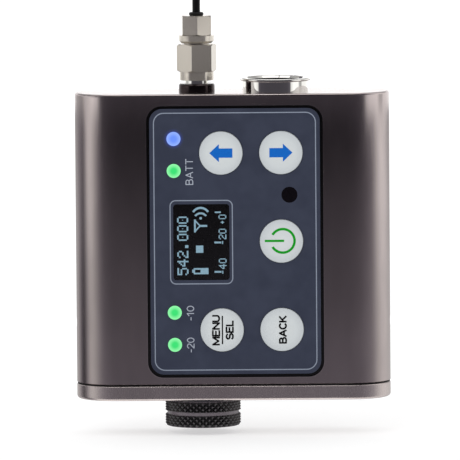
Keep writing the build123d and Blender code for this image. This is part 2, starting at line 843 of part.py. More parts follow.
# ---------------------------------------------------------------- antenna
nut_foot = case_top + port_ring_height + nut_gap
hex_foot = nut_foot + nut_skirt_height
nut_top = hex_foot + nut_hex_height
nut_bore_radius = port_thread_radius + running_clearance
nut_rim_bore_radius = plug_neck_radius + running_clearance
plug_face = port_top + plug_face_gap
snap_base = nut_top - nut_shoulder - snap_ring_thickness
ring_foot = nut_top + plug_gap
ring_top = ring_foot + plug_ring_height
plug_top = ring_top + plug_hex_height
bead_top = plug_top + bead_height
antenna_top = nut_foot + antenna_length


def bevelled_hex(centre, radius, turn, base, height):
    """Hexagonal bar with both ends turned to a bevel that just meets its flats."""
    bevel = radius * (1 - cos(radians(hex_bevel_angle)))
    rise = bevel * tan(radians(hex_bevel_angle))
    with BuildPart() as piece:
        with BuildSketch(Plane.XY.offset(base)):
            with Locations((centre, 0)):
                RegularPolygon(radius, 6, rotation=turn)
        extrude(amount=height)
        blank = turned(Axis((centre, 0, 0), (0, 0, 1)), [
            (0, base), (radius - bevel, base), (radius, base + rise),
            (radius, base + height - rise), (radius - bevel, base + height), (0, base + height),
        ])
        add(blank.part, mode=Mode.INTERSECT)
    return piece


with BuildPart() as coupling_nut:
    add(bevelled_hex(port_x, nut_hex_radius, nut_hex_turn, hex_foot, nut_hex_height).part)
    add(tube(port_axis, 0, nut_skirt_radius, nut_foot, nut_top - nut_shoulder).part)
    add(turned(port_axis, [
        (0, nut_foot), (nut_bore_radius + nut_lead, nut_foot), (nut_bore_radius, nut_foot + nut_lead),
        (nut_bore_radius, snap_base - snap_gap),
        (snap_ring_radius + snap_clearance, snap_base - snap_gap),
        (snap_ring_radius + snap_clearance, nut_top - nut_shoulder + snap_clearance),
        (nut_rim_bore_radius, nut_top - nut_shoulder + snap_clearance),
        (nut_rim_bore_radius, nut_top), (0, nut_top),
    ]).part, mode=Mode.SUBTRACT)
pieces["coupling_nut"] = coupling_nut

with BuildPart() as plug_body:
    add(turned(port_axis, [
        (0, plug_face), (plug_neck_radius, plug_face), (plug_neck_radius, ring_foot),
        (plug_ring_radius - plug_ring_chamfer, ring_foot),
        (plug_ring_radius, ring_foot + plug_ring_chamfer), (plug_ring_radius, ring_top), (0, ring_top),
    ]).part)
    add(bevelled_hex(port_x, plug_hex_radius, plug_hex_turn, ring_top, plug_hex_height).part)
    with BuildSketch(Plane.XY.offset(plug_face)):
        with Locations((port_x, 0)):
            Circle(port_insulator_radius)
    extrude(amount=ring_top - plug_face, mode=Mode.SUBTRACT)
    with BuildSketch(Plane.XY.offset(ring_top)):
        with Locations((port_x, 0)):
            Circle(whip_radius)
    extrude(amount=plug_hex_height, mode=Mode.SUBTRACT)
pieces["plug_body"] = plug_body

pieces["snap_ring"] = tube(
    port_axis, plug_neck_radius, snap_ring_radius, snap_base, snap_base + snap_ring_thickness)
pieces["plug_insulator"] = tube(
    port_axis, plug_pin_radius, port_insulator_radius, plug_face, ring_top)
pieces["plug_pin"] = turned(port_axis, [
    (0, plug_face - plug_pin_reach), (plug_pin_tip_radius, plug_face - plug_pin_reach),
    (plug_pin_radius, plug_face - plug_pin_reach + plug_pin_lead), (plug_pin_radius, ring_top), (0, ring_top),
])
whip_tip = antenna_top - whip_inset
pieces["whip"] = tube(port_axis, 0, whip_radius, ring_top, whip_tip)

with BuildPart() as whip_bead:
    add(tube(port_axis, whip_radius, bead_radius, plug_top, bead_top).part)
    fillet(whip_bead.edges().filter_by(GeomType.CIRCLE).group_by(SortBy.RADIUS)[-1], bead_round)
pieces["whip_bead"] = whip_bead

with BuildPart() as whip_cap:
    add(tube(port_axis, 0, tip_radius, antenna_top - tip_length, antenna_top).part)
    fillet(whip_cap.edges().group_by(Axis.Z)[-1], tip_round)
    with BuildSketch(Plane.XY.offset(antenna_top - tip_length)):
        with Locations((port_x, 0)):
            Circle(whip_radius)
    extrude(amount=whip_tip - antenna_top + tip_length, mode=Mode.SUBTRACT)
pieces["whip_cap"] = whip_cap

# ---------------------------------------------------------------- files
os.makedirs("parts", exist_ok=True)
for name, piece in pieces.items():
    piece.part.label = name
    export_step(piece.part, f"parts/{name}.step")

print(len(pieces), "nodes")
print("case", case_width, case_depth, case_height, "from", case_base, "to", case_top)
print("cells at", cell_x, "antenna top", antenna_top)
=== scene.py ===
import math

import bmesh
import bpy
from mathutils import Matrix, Vector


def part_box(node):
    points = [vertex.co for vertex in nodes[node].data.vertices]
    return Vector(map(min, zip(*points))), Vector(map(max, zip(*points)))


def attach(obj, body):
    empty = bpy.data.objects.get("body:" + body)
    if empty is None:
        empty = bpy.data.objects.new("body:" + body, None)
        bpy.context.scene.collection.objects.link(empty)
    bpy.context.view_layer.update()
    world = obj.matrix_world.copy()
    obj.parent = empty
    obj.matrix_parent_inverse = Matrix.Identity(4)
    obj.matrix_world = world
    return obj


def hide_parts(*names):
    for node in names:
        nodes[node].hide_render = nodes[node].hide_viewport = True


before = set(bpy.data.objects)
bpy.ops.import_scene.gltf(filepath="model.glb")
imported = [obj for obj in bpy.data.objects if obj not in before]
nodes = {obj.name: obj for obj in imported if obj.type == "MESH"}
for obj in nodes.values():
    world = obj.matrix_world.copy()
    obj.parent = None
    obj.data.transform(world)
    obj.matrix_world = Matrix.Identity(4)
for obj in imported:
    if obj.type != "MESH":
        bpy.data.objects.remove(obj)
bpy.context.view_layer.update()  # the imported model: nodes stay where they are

mm = 0.001


def boxCentre(node):
    low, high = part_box(node)
    return (low + high) / 2


# camera first: level with the case, a long way off, looking a little down
camera = {"distance": 1.8, "elevation": 5.0, "roll": 0.43, "frameWidth": 91.77 * mm,
          "aim": Vector((-0.58, 1.92)) * mm, "sensor": 36.0, "reach": 20}


def placeCamera(values):
    low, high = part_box("housing")
    front = Vector(((low.x + high.x) / 2, low.y, (low.z + high.z) / 2))
    tilt = math.radians(values["elevation"])
    back = Vector((0, -math.cos(tilt), math.sin(tilt)))
    turned = (-back).to_track_quat("-Z", "Y").to_matrix()
    turned = turned @ Matrix.Rotation(math.radians(-values["roll"]), 3, "Z")
    aim = front + turned @ Vector((values["aim"].x, values["aim"].y, 0))
    data = bpy.data.cameras.new("studioCamera")
    data.sensor_width = values["sensor"]
    data.lens = values["sensor"] * values["distance"] / values["frameWidth"]
    data.clip_end = values["reach"]
    holder = bpy.data.objects.new("studioCamera", data)
    holder.rotation_mode = "QUATERNION"
    holder.rotation_quaternion = turned.to_quaternion()
    holder.location = aim + back * values["distance"]
    bpy.context.scene.collection.objects.link(holder)
    bpy.context.scene.camera = holder


placeCamera(camera)
bpy.context.scene.view_settings.view_transform = "Standard"
print("camera placed")


def linear(hexColour):
    parts = [int(hexColour[i:i + 2], 16) / 255 for i in (1, 3, 5)]
    return tuple(p / 12.92 if p <= 0.04045 else ((p + 0.055) / 1.055) ** 2.4 for p in parts) + (1.0,)


def addNode(tree, kind, sockets=None, **settings):
    node = tree.nodes.new(kind)
    for name, value in settings.items():
        setattr(node, name, value)
    for name, value in (sockets or {}).items():
        if isinstance(value, bpy.types.NodeSocket):
            tree.links.new(value, node.inputs[name])
        else:
            node.inputs[name].default_value = value
    return node


def newMaterial(name, **sockets):
    material = bpy.data.materials.new(name)
    material.use_nodes = True
    tree = material.node_tree
    tree.nodes.clear()
    shader = addNode(tree, "ShaderNodeBsdfPrincipled", {k.replace("_", " "): v for k, v in sockets.items()})
    addNode(tree, "ShaderNodeOutputMaterial", {"Surface": shader.outputs[0]})
    return material, tree, shader


def grain(tree, size, stretch=(1, 1, 1), detail=3.0, roughness=0.6):
    # noise on object coordinates; size is one grain in metres, stretch lengthens it along an axis
    place = addNode(tree, "ShaderNodeTexCoord").outputs["Object"]
    scale = [1 / (size * s) for s in stretch]
    mapped = addNode(tree, "ShaderNodeMapping", {"Vector": place, "Scale": scale})
    return addNode(tree, "ShaderNodeTexNoise", {"Vector": mapped.outputs[0], "Scale": 1.0, "Detail": detail,
                                                "Roughness": roughness}).outputs["Fac"]


def paint(tree, pattern, stops, socket=None):
    # colours (or grey levels) laid out along a pattern, joined to a socket if one is given
    node = addNode(tree, "ShaderNodeValToRGB", {"Fac": pattern})
    points = node.color_ramp.elements
    while len(points) < len(stops):
        points.new(0.5)
    for point, (position, colour) in zip(points, stops):
        point.position = position
        point.color = colour
    if socket:
        tree.links.new(node.outputs["Color"], socket)
    return node.outputs["Color"]


def polish(tree, shader, pattern, low, high, darkest=0.3, lightest=0.7):
    # roughness that follows a pattern, whose noise lies mostly between darkest and lightest
    rough = addNode(tree, "ShaderNodeMapRange", {"Value": pattern, "From Min": darkest, "From Max": lightest,
                                                 "To Min": low, "To Max": high})
    tree.links.new(rough.outputs[0], shader.inputs["Roughness"])


def emboss(tree, shader, height, strength, distance):
    bump = addNode(tree, "ShaderNodeBump", {"Height": height, "Strength": strength, "Distance": distance})
    tree.links.new(bump.outputs[0], shader.inputs["Normal"])


def dress(material, *names):
    for name in names:
        for holder in nodes[name].material_slots:
            holder.material = material


def meshPiece(name, mesh, body, material, replaced=None):
    mesh.materials.clear()
    mesh.materials.append(material)
    piece = bpy.data.objects.new(name, mesh)
    bpy.context.scene.collection.objects.link(piece)
    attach(piece, body)
    if replaced:
        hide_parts(replaced)
    return piece


# electroless nickel on machined aluminium: dark, satin, with a fine grain drawn along the extrusion
caseValues = {"colour": "#bbb0ae", "lighter": 1.14, "metallic": 1.0, "roughness": 0.22, "duller": 0.04,
              "glossier": 0.03, "grain": 0.14 * mm, "grainLength": 30, "blast": 0.07 * mm, "cloud": 7 * mm,
              "bump": 0.08, "bumpHeight": 0.004 * mm}


def nearestGap(tree, centres):
    # distance in the panel's plane from the nearest of some (x, z) points
    place = addNode(tree, "ShaderNodeTexCoord").outputs["Object"]
    flat = addNode(tree, "ShaderNodeVectorMath", {0: place, 1: (1, 0, 1)}, operation="MULTIPLY").outputs[0]
    nearest = None
    for x, z in centres:
        gap = addNode(tree, "ShaderNodeVectorMath", {0: flat, 1: (x, 0, z)}, operation="DISTANCE")
        gap = gap.outputs["Value"]
        nearest = gap if nearest is None else addNode(tree, "ShaderNodeMath", {0: nearest, 1: gap},
                                                      operation="MINIMUM").outputs[0]
    return nearest


def nickelPlate(name, values, recess=None):
    material, tree, shader = newMaterial(name)
    lines = grain(tree, values["grain"], stretch=(1, 1, values["grainLength"]), detail=4)
    blast = grain(tree, values["blast"], detail=2)
    cloud = grain(tree, values["cloud"], stretch=(1, 1, 3), detail=2)
    dark = linear(values["colour"])
    light = [min(1, c * values["lighter"]) for c in dark[:3]] + [1]
    tint = paint(tree, cloud, [(0.35, dark), (0.65, light)])
    shader.inputs["Metallic"].default_value = values["metallic"]
    if recess:  # the milled recess gets painted shade inside, near black, and a painted highlight along its cut edge
        place = addNode(tree, "ShaderNodeTexCoord").outputs["Object"]
        steps = [("SUBTRACT", recess["middle"]), ("ABSOLUTE", None), ("SUBTRACT", recess["straight"]),
                 ("MAXIMUM", (0, 0, 0)), ("LENGTH", None)]  # how far past the recess's straight sides
        spot = place
        for kind, other in steps:
            sockets = {0: spot} if other is None else {0: spot, 1: other}
            step = addNode(tree, "ShaderNodeVectorMath", sockets, operation=kind)
            spot = step.outputs["Value" if kind == "LENGTH" else "Vector"]
        depth = addNode(tree, "ShaderNodeSeparateXYZ", {0: place}).outputs["Y"]
        tests = [("LESS_THAN", spot, recess["corner"] + recess["slack"]),
                 ("GREATER_THAN", depth, recess["face"] + recess["slack"]),
                 ("LESS_THAN", spot, recess["corner"] + recess["edge"]),
                 ("LESS_THAN", depth, recess["face"] + recess["depth"])]
        inside, sunk, nearEdge, shallow = [
            addNode(tree, "ShaderNodeMath", {0: value, 1: limit}, operation=kind).outputs[0]
            for kind, value, limit in tests]
        well, paintedEdgeLine = [addNode(tree, "ShaderNodeMath", {0: a, 1: b}, operation="MULTIPLY").outputs[0]
                         for a, b in ((inside, sunk), (nearEdge, shallow))]
        paintedRecessShade = addNode(tree, "ShaderNodeMath", {0: well, 1: shallow}, operation="MULTIPLY").outputs[0]
        for mask, colour in ((paintedEdgeLine, recess["paintedEdgeColour"]), (paintedRecessShade, recess["paintedShadeColour"])):
            sockets = {"Fac": mask, "Color1": tint, "Color2": linear(colour)}
            tint = addNode(tree, "ShaderNodeMixRGB", sockets).outputs[0]
        metal = addNode(tree, "ShaderNodeMath", {0: 1.0, 1: paintedRecessShade}, operation="SUBTRACT").outputs[0]
        tree.links.new(metal, shader.inputs["Metallic"])
    tree.links.new(tint, shader.inputs["Base Color"])
    rough = values["roughness"]
    polish(tree, shader, lines, rough - values["glossier"], rough + values["duller"])
    height = addNode(tree, "ShaderNodeMath", {0: lines, 1: blast}, operation="ADD").outputs[0]
    emboss(tree, shader, height, values["bump"], values["bumpHeight"])
    return material


# painted shade inside the panel recess and a painted highlight along its edge, laid into the case's colour by
# position
recessValues = {"margin": 0.6 * mm, "corner": 3.1 * mm, "edge": 0.12 * mm, "slack": 0.05 * mm,
                "depth": 1.2 * mm, "paintedEdgeColour": "#d2c8c5", "paintedShadeColour": "#0b0a0c"}
low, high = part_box("panel_overlay")
straight = (high - low) / 2 + Vector((1, 0, 1)) * (recessValues["margin"] - recessValues["corner"])
recessValues.update(face=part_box("housing")[0].y, middle=((low.x + high.x) / 2, 0, (low.z + high.z) / 2),
                    straight=(straight.x, 1.0, straight.z))
nickel = nickelPlate("electrolessNickelSatin", caseValues, recessValues)
doorValues = dict(caseValues, colour="#cdc2bf", metallic=0.96, roughness=0.25, bump=0.03)
doorNickel = nickelPlate("electrolessNickelSatinDoor", doorValues)
dress(nickel, "housing")
dress(doorNickel, "battery_door")

metals = {  # name: dark hex, light hex, grain mm, stretch, detail, roughness low, high, bump, bump mm, nodes
    # polished nickel on turned brass: a clean mirror with faint turning rings
    "polishedNickelTurned": ("#e4e2dd", None, 0.12, (60, 60, 1), 2, 0.02, 0.06, 0.04, 0.003,
                             ("mic_jack_shell", "port_body")),
    # black nickel on the antenna port: dark, but still a metal, so it carries streaks of the room
    "blackNickelTurned": ("#3a3233", "#4a4142", 0.15, (60, 60, 1), 2, 0.14, 0.24, None, None,
                          ("port_ring",)),
    # turned stainless steel: grey, with fine rings
    "turnedStainless": ("#c9c9ca", None, 0.08, (50, 50, 1), 3, 0.22, 0.38, 0.12, 0.004,
                        ("knob_stud", "thrust_washer", "board_screws", "mic_jack_nut", "spring_contact")),
    # brass left bare: warm, lightly tarnished in patches
    "turnedBrass": ("#8d7443", "#c8aa6a", 1.2, (1, 1, 1), 5, 0.35, 0.20, None, None,
                    ("threaded_insert", "board_spacers", "contact_bridge")),
    # spring bronze: redder, rolled smooth
    "rolledSpringBronze": ("#8a6a45", "#b08a5c", 0.2, (20, 1, 1), 3, 0.22, 0.36, None, None,
                           ("stud_clip", "leaf_contact", "snap_ring")),
    # gold flash over nickel: bright yellow, almost a mirror
    "goldFlash": ("#d9ae55", "#f0cf80", 0.5, (1, 1, 1), 4, 0.10, 0.22, None, None,
                  ("mic_jack_pins", "port_contact", "plug_pin")),
}
for name, (dark, light, size, stretch, detail, low, high, strength, rise, dressed) in metals.items():
    material, tree, shader = newMaterial(name, Metallic=1.0, Base_Color=linear(dark))
    skin = grain(tree, size * mm, stretch, detail)
    if light:
        paint(tree, skin, [(0.3, linear(dark)), (0.7, linear(light))], shader.inputs["Base Color"])
    polish(tree, shader, skin, low, high)
    if strength:
        emboss(tree, shader, skin, strength, rise * mm)
    dress(material, *dressed)

# the antenna's plug: the same plate, warmer and a little duller from handling
plugValues = {"colour": "#cfc8bd", "metallic": 0.80, "smear": 1.6 * mm, "rings": 0.1 * mm, "ringLength": 40,
              "bump": 0.10, "bumpHeight": 0.004 * mm}
plugNickel, tree, shader = newMaterial("handledNickelPlate", Metallic=plugValues["metallic"],
                                       Base_Color=linear(plugValues["colour"]))
polish(tree, shader, grain(tree, plugValues["smear"], detail=5), 0.13, 0.26)
rings = grain(tree, plugValues["rings"], stretch=(plugValues["ringLength"], plugValues["ringLength"], 1))
emboss(tree, shader, rings, plugValues["bump"], plugValues["bumpHeight"])
dress(plugNickel, "coupling_nut", "plug_body")

# tinned sheet steel, stamped: pale grey with a faint spangle
tinnedValues = {"colour": "#c2c4c6", "spangle": 0.9 * mm, "glossiest": 0.25, "dullest": 0.42}
tinned, tree, shader = newMaterial("tinnedSheet", Metallic=1.0, Base_Color=linear(tinnedValues["colour"]))
place = addNode(tree, "ShaderNodeTexCoord").outputs["Object"]
spangle = addNode(tree, "ShaderNodeTexVoronoi", {"Vector": place, "Scale": 1 / tinnedValues["spangle"]})
polish(tree, shader, spangle.outputs["Color"], tinnedValues["glossiest"], tinnedValues["dullest"], 0.0, 1.0)
dress(tinned, "shield_cans", "dome_switches")

# black anodised aluminium, knurled: painted shade near black in the cuts, and a painted highlight a shade
# lighter on the crests
knobBlack, tree, shader = newMaterial("blackAnodisedKnurl", Specular_IOR_Level=0.7)
paintedCrestLight = addNode(tree, "ShaderNodeAttribute", attribute_name="crest").outputs["Fac"]
crestShadeAndLight = [(0.0, "#030303"), (0.6, "#131014"), (0.84, "#463f45"), (1.0, "#6d656b")]
paint(tree, paintedCrestLight, [(share, linear(colour)) for share, colour in crestShadeAndLight], shader.inputs["Base Color"])
etchValues = {"bloom": 0.3 * mm, "etch": 0.06 * mm, "bump": 0.1, "bumpHeight": 0.003 * mm}
polish(tree, shader, grain(tree, etchValues["bloom"], detail=4), 0.22, 0.34)
emboss(tree, shader, grain(tree, etchValues["etch"]), etchValues["bump"], etchValues["bumpHeight"])
print("metals mixed")

plastics = {  # name: (dark hex, light hex, grain mm, roughness low, high, bump strength, nodes)
    "mouldedBlackNylon": ("#0c0c0e", "#151517", 0.25, 0.38, 0.52, 0.15,
                          ("panel_carrier", "contact_holders", "contact_tray", "display_frame", "board_link",
                           "mic_jack_insulator", "whip_cap")),
    "extrudedWhipJacket": ("#09090a", "#141415", 0.30, 0.32, 0.45, 0.10, ("whip",)),
    "mouldedRubber": ("#0b0b0b", "#121212", 0.20, 0.55, 0.72, 0.20, ("whip_bead", "door_seal")),
    "turnedPtfe": ("#dcdbd6", "#ecebe6", 0.30, 0.40, 0.55, 0.08, ("port_insulator", "plug_insulator")),
    "mouldedEpoxy": ("#101113", "#1b1c1f", 0.20, 0.55, 0.70, 0.20, ("board_chips", "infrared_sensor")),
    "pressedFerrite": ("#25262a", "#34363a", 0.30, 0.45, 0.65, 0.25, ("power_choke",)),
    "infraredFilter": ("#050407", "#0b070c", 0.60, 0.06, 0.12, 0.03, ("infrared_window",)),
    "lampPackage": ("#d8d2bb", "#ece7d4", 0.20, 0.30, 0.45, 0.05, ("lamp_chips",)),
}
for name, (dark, light, size, low, high, strength, dressed) in plastics.items():
    material, tree, shader = newMaterial(name)
    skin = grain(tree, size * mm, detail=4)
    paint(tree, skin, [(0.3, linear(dark)), (0.7, linear(light))], shader.inputs["Base Color"])
    polish(tree, shader, skin, low, high)
    emboss(tree, shader, skin, strength, 0.02 * mm)
    dress(material, *dressed)
    if name == "extrudedWhipJacket":  # thin and round: a full sheen would wash its edges out
        shader.inputs["Specular IOR Level"].default_value = 0.15

# polycarbonate film, back-printed blue-grey, with a fine embossed texture on its face
overlayValues = {"dark": "#2f3548", "light": "#353b4e", "texture": 0.16 * mm}
overlay, tree, shader = newMaterial("velvetPolycarbonate", IOR=1.58, Specular_IOR_Level=0.25)
pebble = grain(tree, overlayValues["texture"], detail=3)
cloud = grain(tree, 5 * mm, detail=2)
paint(tree, cloud, [(0.35, linear(overlayValues["dark"])), (0.65, linear(overlayValues["light"]))],
      shader.inputs["Base Color"])
polish(tree, shader, pebble, 0.42, 0.58)
emboss(tree, shader, pebble, 0.35, 0.01 * mm)
# painted blue glow on the film round the blue lamp, standing for light spilling from it
blueLamp = boxCentre("lamp_lens_blue")
lampRadius = (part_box("lamp_lens_blue")[1].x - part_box("lamp_lens_blue")[0].x) / 2
share = addNode(tree, "ShaderNodeMath", {0: nearestGap(tree, [(blueLamp.x, blueLamp.z)]), 1: lampRadius},
                operation="DIVIDE").outputs[0]
paintedBlueGlow = addNode(tree, "ShaderNodeMapRange", {"Value": share, "From Min": 0.95, "From Max": 1.5}).outputs[0]
paint(tree, paintedBlueGlow, [(0.0, linear("#263da0")), (0.35, linear("#101a4a")), (1.0, (0, 0, 0, 1))],
      shader.inputs["Emission Color"])
shader.inputs["Emission Strength"].default_value = 1.0
dress(overlay, "panel_overlay")

# silicone key caps: off-white, softly matte, with painted shading: palest in the middle, darker towards the
# rim
keyNames = ["key_left", "key_right", "key_power", "key_menu", "key_back"]
keyWhite, tree, shader = newMaterial("mouldedKeySilicone", IOR=1.43, Specular_IOR_Level=0.3)
keyRadius = (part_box("key_left")[1].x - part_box("key_left")[0].x) / 2
dust = grain(tree, 0.35 * mm, detail=4)
fromKey = nearestGap(tree, [(boxCentre(n).x, boxCentre(n).z) for n in keyNames])
share = addNode(tree, "ShaderNodeMath", {0: fromKey, 1: keyRadius}, operation="DIVIDE").outputs[0]
paint(tree, share, [(0.0, linear("#ccd0d1")), (0.6, linear("#c6cbcd")), (1.0, linear("#b6bbbf"))],
      shader.inputs["Base Color"])
polish(tree, shader, dust, 0.50, 0.66)
emboss(tree, shader, dust, 0.12, 0.01 * mm)
dress(keyWhite, *keyNames)

# screen-printing inks: flat and slightly chalky
inkColours = {"Grey": ("#969caa", "#a6acb8"), "Line": ("#7c8494", "#8a92a1"), "Blue": ("#005bb4", "#0063bf"),
              "Green": ("#068a14", "#0a9a1c"), "Black": ("#050507", "#08080a")}
inks = {}
for name, (dark, light) in inkColours.items():
    inks[name], tree, shader = newMaterial("screenInk" + name, Specular_IOR_Level=0.15)
    chalk = grain(tree, 0.25 * mm, detail=4)
    paint(tree, chalk, [(0.3, linear(dark)), (0.7, linear(light))], shader.inputs["Base Color"])
    polish(tree, shader, chalk, 0.5, 0.65)

# lamp lenses: dyed light pipes, lit from behind, paler at the rim where the light leaves sideways
lowLamp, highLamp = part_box("lamp_lenses_green")
lampPitch = 6.45 * mm


def litLens(name, centres, core, rim, strength):
    material, tree, shader = newMaterial(name, Roughness=0.2, IOR=1.5, Base_Color=linear("#20242c"))
    fromLamp = nearestGap(tree, centres)
    share = addNode(tree, "ShaderNodeMath", {0: fromLamp, 1: lampRadius}, operation="DIVIDE").outputs[0]
    stops = [(0.0, core), (0.35, core), (0.85, rim), (1.0, rim)]
    paint(tree, share, [(place, linear(colour)) for place, colour in stops], shader.inputs["Emission Color"])
    shader.inputs["Emission Strength"].default_value = strength
    return material


lampRows = [highLamp.z - lampRadius, lowLamp.z + lampRadius]
lampCentres = [((lowLamp.x + highLamp.x) / 2, z) for z in lampRows]
lampCentres.append((lampCentres[0][0], lowLamp.z + lampRadius + lampPitch))
dress(litLens("litLensBlue", [(blueLamp.x, blueLamp.z)], "#6b92ff", "#8eaeff", 1.0), "lamp_lens_blue")
dress(litLens("litLensGreen", lampCentres, "#35e070", "#8cf7a4", 1.0), "lamp_lenses_green")

# clear window, hard-coated
window, tree, shader = newMaterial("clearCoatedWindow", IOR=1.49, Transmission_Weight=1.0,
                                   Base_Color=(1, 1, 1, 1))
haze = grain(tree, 0.8 * mm, detail=4)
polish(tree, shader, haze, 0.01, 0.03)
dress(window, "display_window")

# display glass: black, faintly brown where unlit dots show
screen, tree, shader = newMaterial("displayGlass", Roughness=0.2, Specular_IOR_Level=0.2)
dots = grain(tree, 0.3 * mm, detail=2)
paint(tree, dots, [(0.35, linear("#030304")), (0.7, linear("#0b0707"))], shader.inputs["Base Color"])
dress(screen, "display_glass")
dotBlue, tree, shader = newMaterial("litDisplayDots", Base_Color=linear("#20282c"), Emission_Strength=1.0)
flicker = grain(tree, 0.3 * mm, detail=2)
paint(tree, flicker, [(0.3, linear("#7b9cae")), (0.7, linear("#90b2c3"))], shader.inputs["Emission Color"])

# solder mask over glass cloth: green, glossy, with the weave just showing
board, tree, shader = newMaterial("solderMaskLaminate", IOR=1.5)
place = addNode(tree, "ShaderNodeTexCoord").outputs["Object"]
weave = addNode(tree, "ShaderNodeTexBrick", {"Vector": place, "Scale": 1 / (2.2 * mm)}).outputs["Fac"]
paint(tree, weave, [(0.0, linear("#0d4a26")), (1.0, linear("#14602f"))], shader.inputs["Base Color"])
polish(tree, shader, weave, 0.22, 0.34, 0.0, 1.0)
dress(board, "control_board", "radio_board")

# printed film sleeve on a drawn steel can: dark body, copper band near the positive end
cellValues = {"body": "#17181b", "band": "#b56a35", "can": "#b8babd", "bandShare": 0.24, "foot": 0.012,
              "shoulder": 0.972, "fade": 0.003}
for name, up in (("left_cell", True), ("right_cell", False)):
    low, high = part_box(name)
    material, tree, shader = newMaterial(f"filmSleeve.{name}", Roughness=0.25)
    place = addNode(tree, "ShaderNodeTexCoord").outputs["Object"]
    height = addNode(tree, "ShaderNodeSeparateXYZ", {0: place}).outputs["Z"]
    share = addNode(tree, "ShaderNodeMapRange", {"Value": height, "From Min": low.z if up else high.z,
                                                 "From Max": high.z if up else low.z}).outputs[0]
    body, band, can = [linear(cellValues[key]) for key in ("body", "band", "can")]
    edge, foot, shoulder = 1 - cellValues["bandShare"], cellValues["foot"], cellValues["shoulder"]
    fade = cellValues["fade"]
    paint(tree, share, [(0.0, can), (foot, body), (edge, body), (edge + fade, band), (shoulder, band),
                        (shoulder + fade, can)], shader.inputs["Base Color"])
    paint(tree, share, [(0.0, (1, 1, 1, 1)), (foot, (0, 0, 0, 1)), (shoulder, (0, 0, 0, 1)),
                        (shoulder + fade, (1, 1, 1, 1))], shader.inputs["Metallic"])
    dress(material, name)
print("plastics mixed")

knobValues = {"columns": 36, "steps": 14, "rise": 1.05 * mm, "depth": 0.38 * mm, "grooveDepth": 0.45 * mm,
              "grooveWidth": 0.7 * mm, "chamfer": 0.35 * mm, "dish": 0.4 * mm, "dishRim": 3.2 * mm,
              "bore": 2.0 * mm, "boreFoot": 0.9 * mm, "grooveLift": 0.1 * mm, "dishSlope": 0.4 * mm,
              "rimLift": 0.08 * mm, "rimRound": 0.1 * mm, "edgeLift": 0.05 * mm}


def revolveMesh(name, centreX, profile, count):
    # profile of (radius, height); a radius of 0 at an end becomes one shared point
    shape = bmesh.new()
    rings = []
    for radius, height in profile:
        if radius == 0:
            rings.append([shape.verts.new((centreX, 0, height))])
            continue
        angles = [math.tau * i / count for i in range(count)]
        rings.append([shape.verts.new((centreX + radius * math.cos(angle), radius * math.sin(angle), height))
                      for angle in angles])
    for lower, upper in zip(rings, rings[1:]):
        for i in range(count):
            j = (i + 1) % count
            if len(lower) == 1:
                shape.faces.new((lower[0], upper[j], upper[i]))
            elif len(upper) == 1:
                shape.faces.new((lower[i], lower[j], upper[0]))
            else:
                shape.faces.new((lower[i], lower[j], upper[j], upper[i]))
    bmesh.ops.recalc_face_normals(shape, faces=shape.faces)
    mesh = bpy.data.meshes.new(name)
    shape.to_mesh(mesh)
    shape.free()
    return mesh


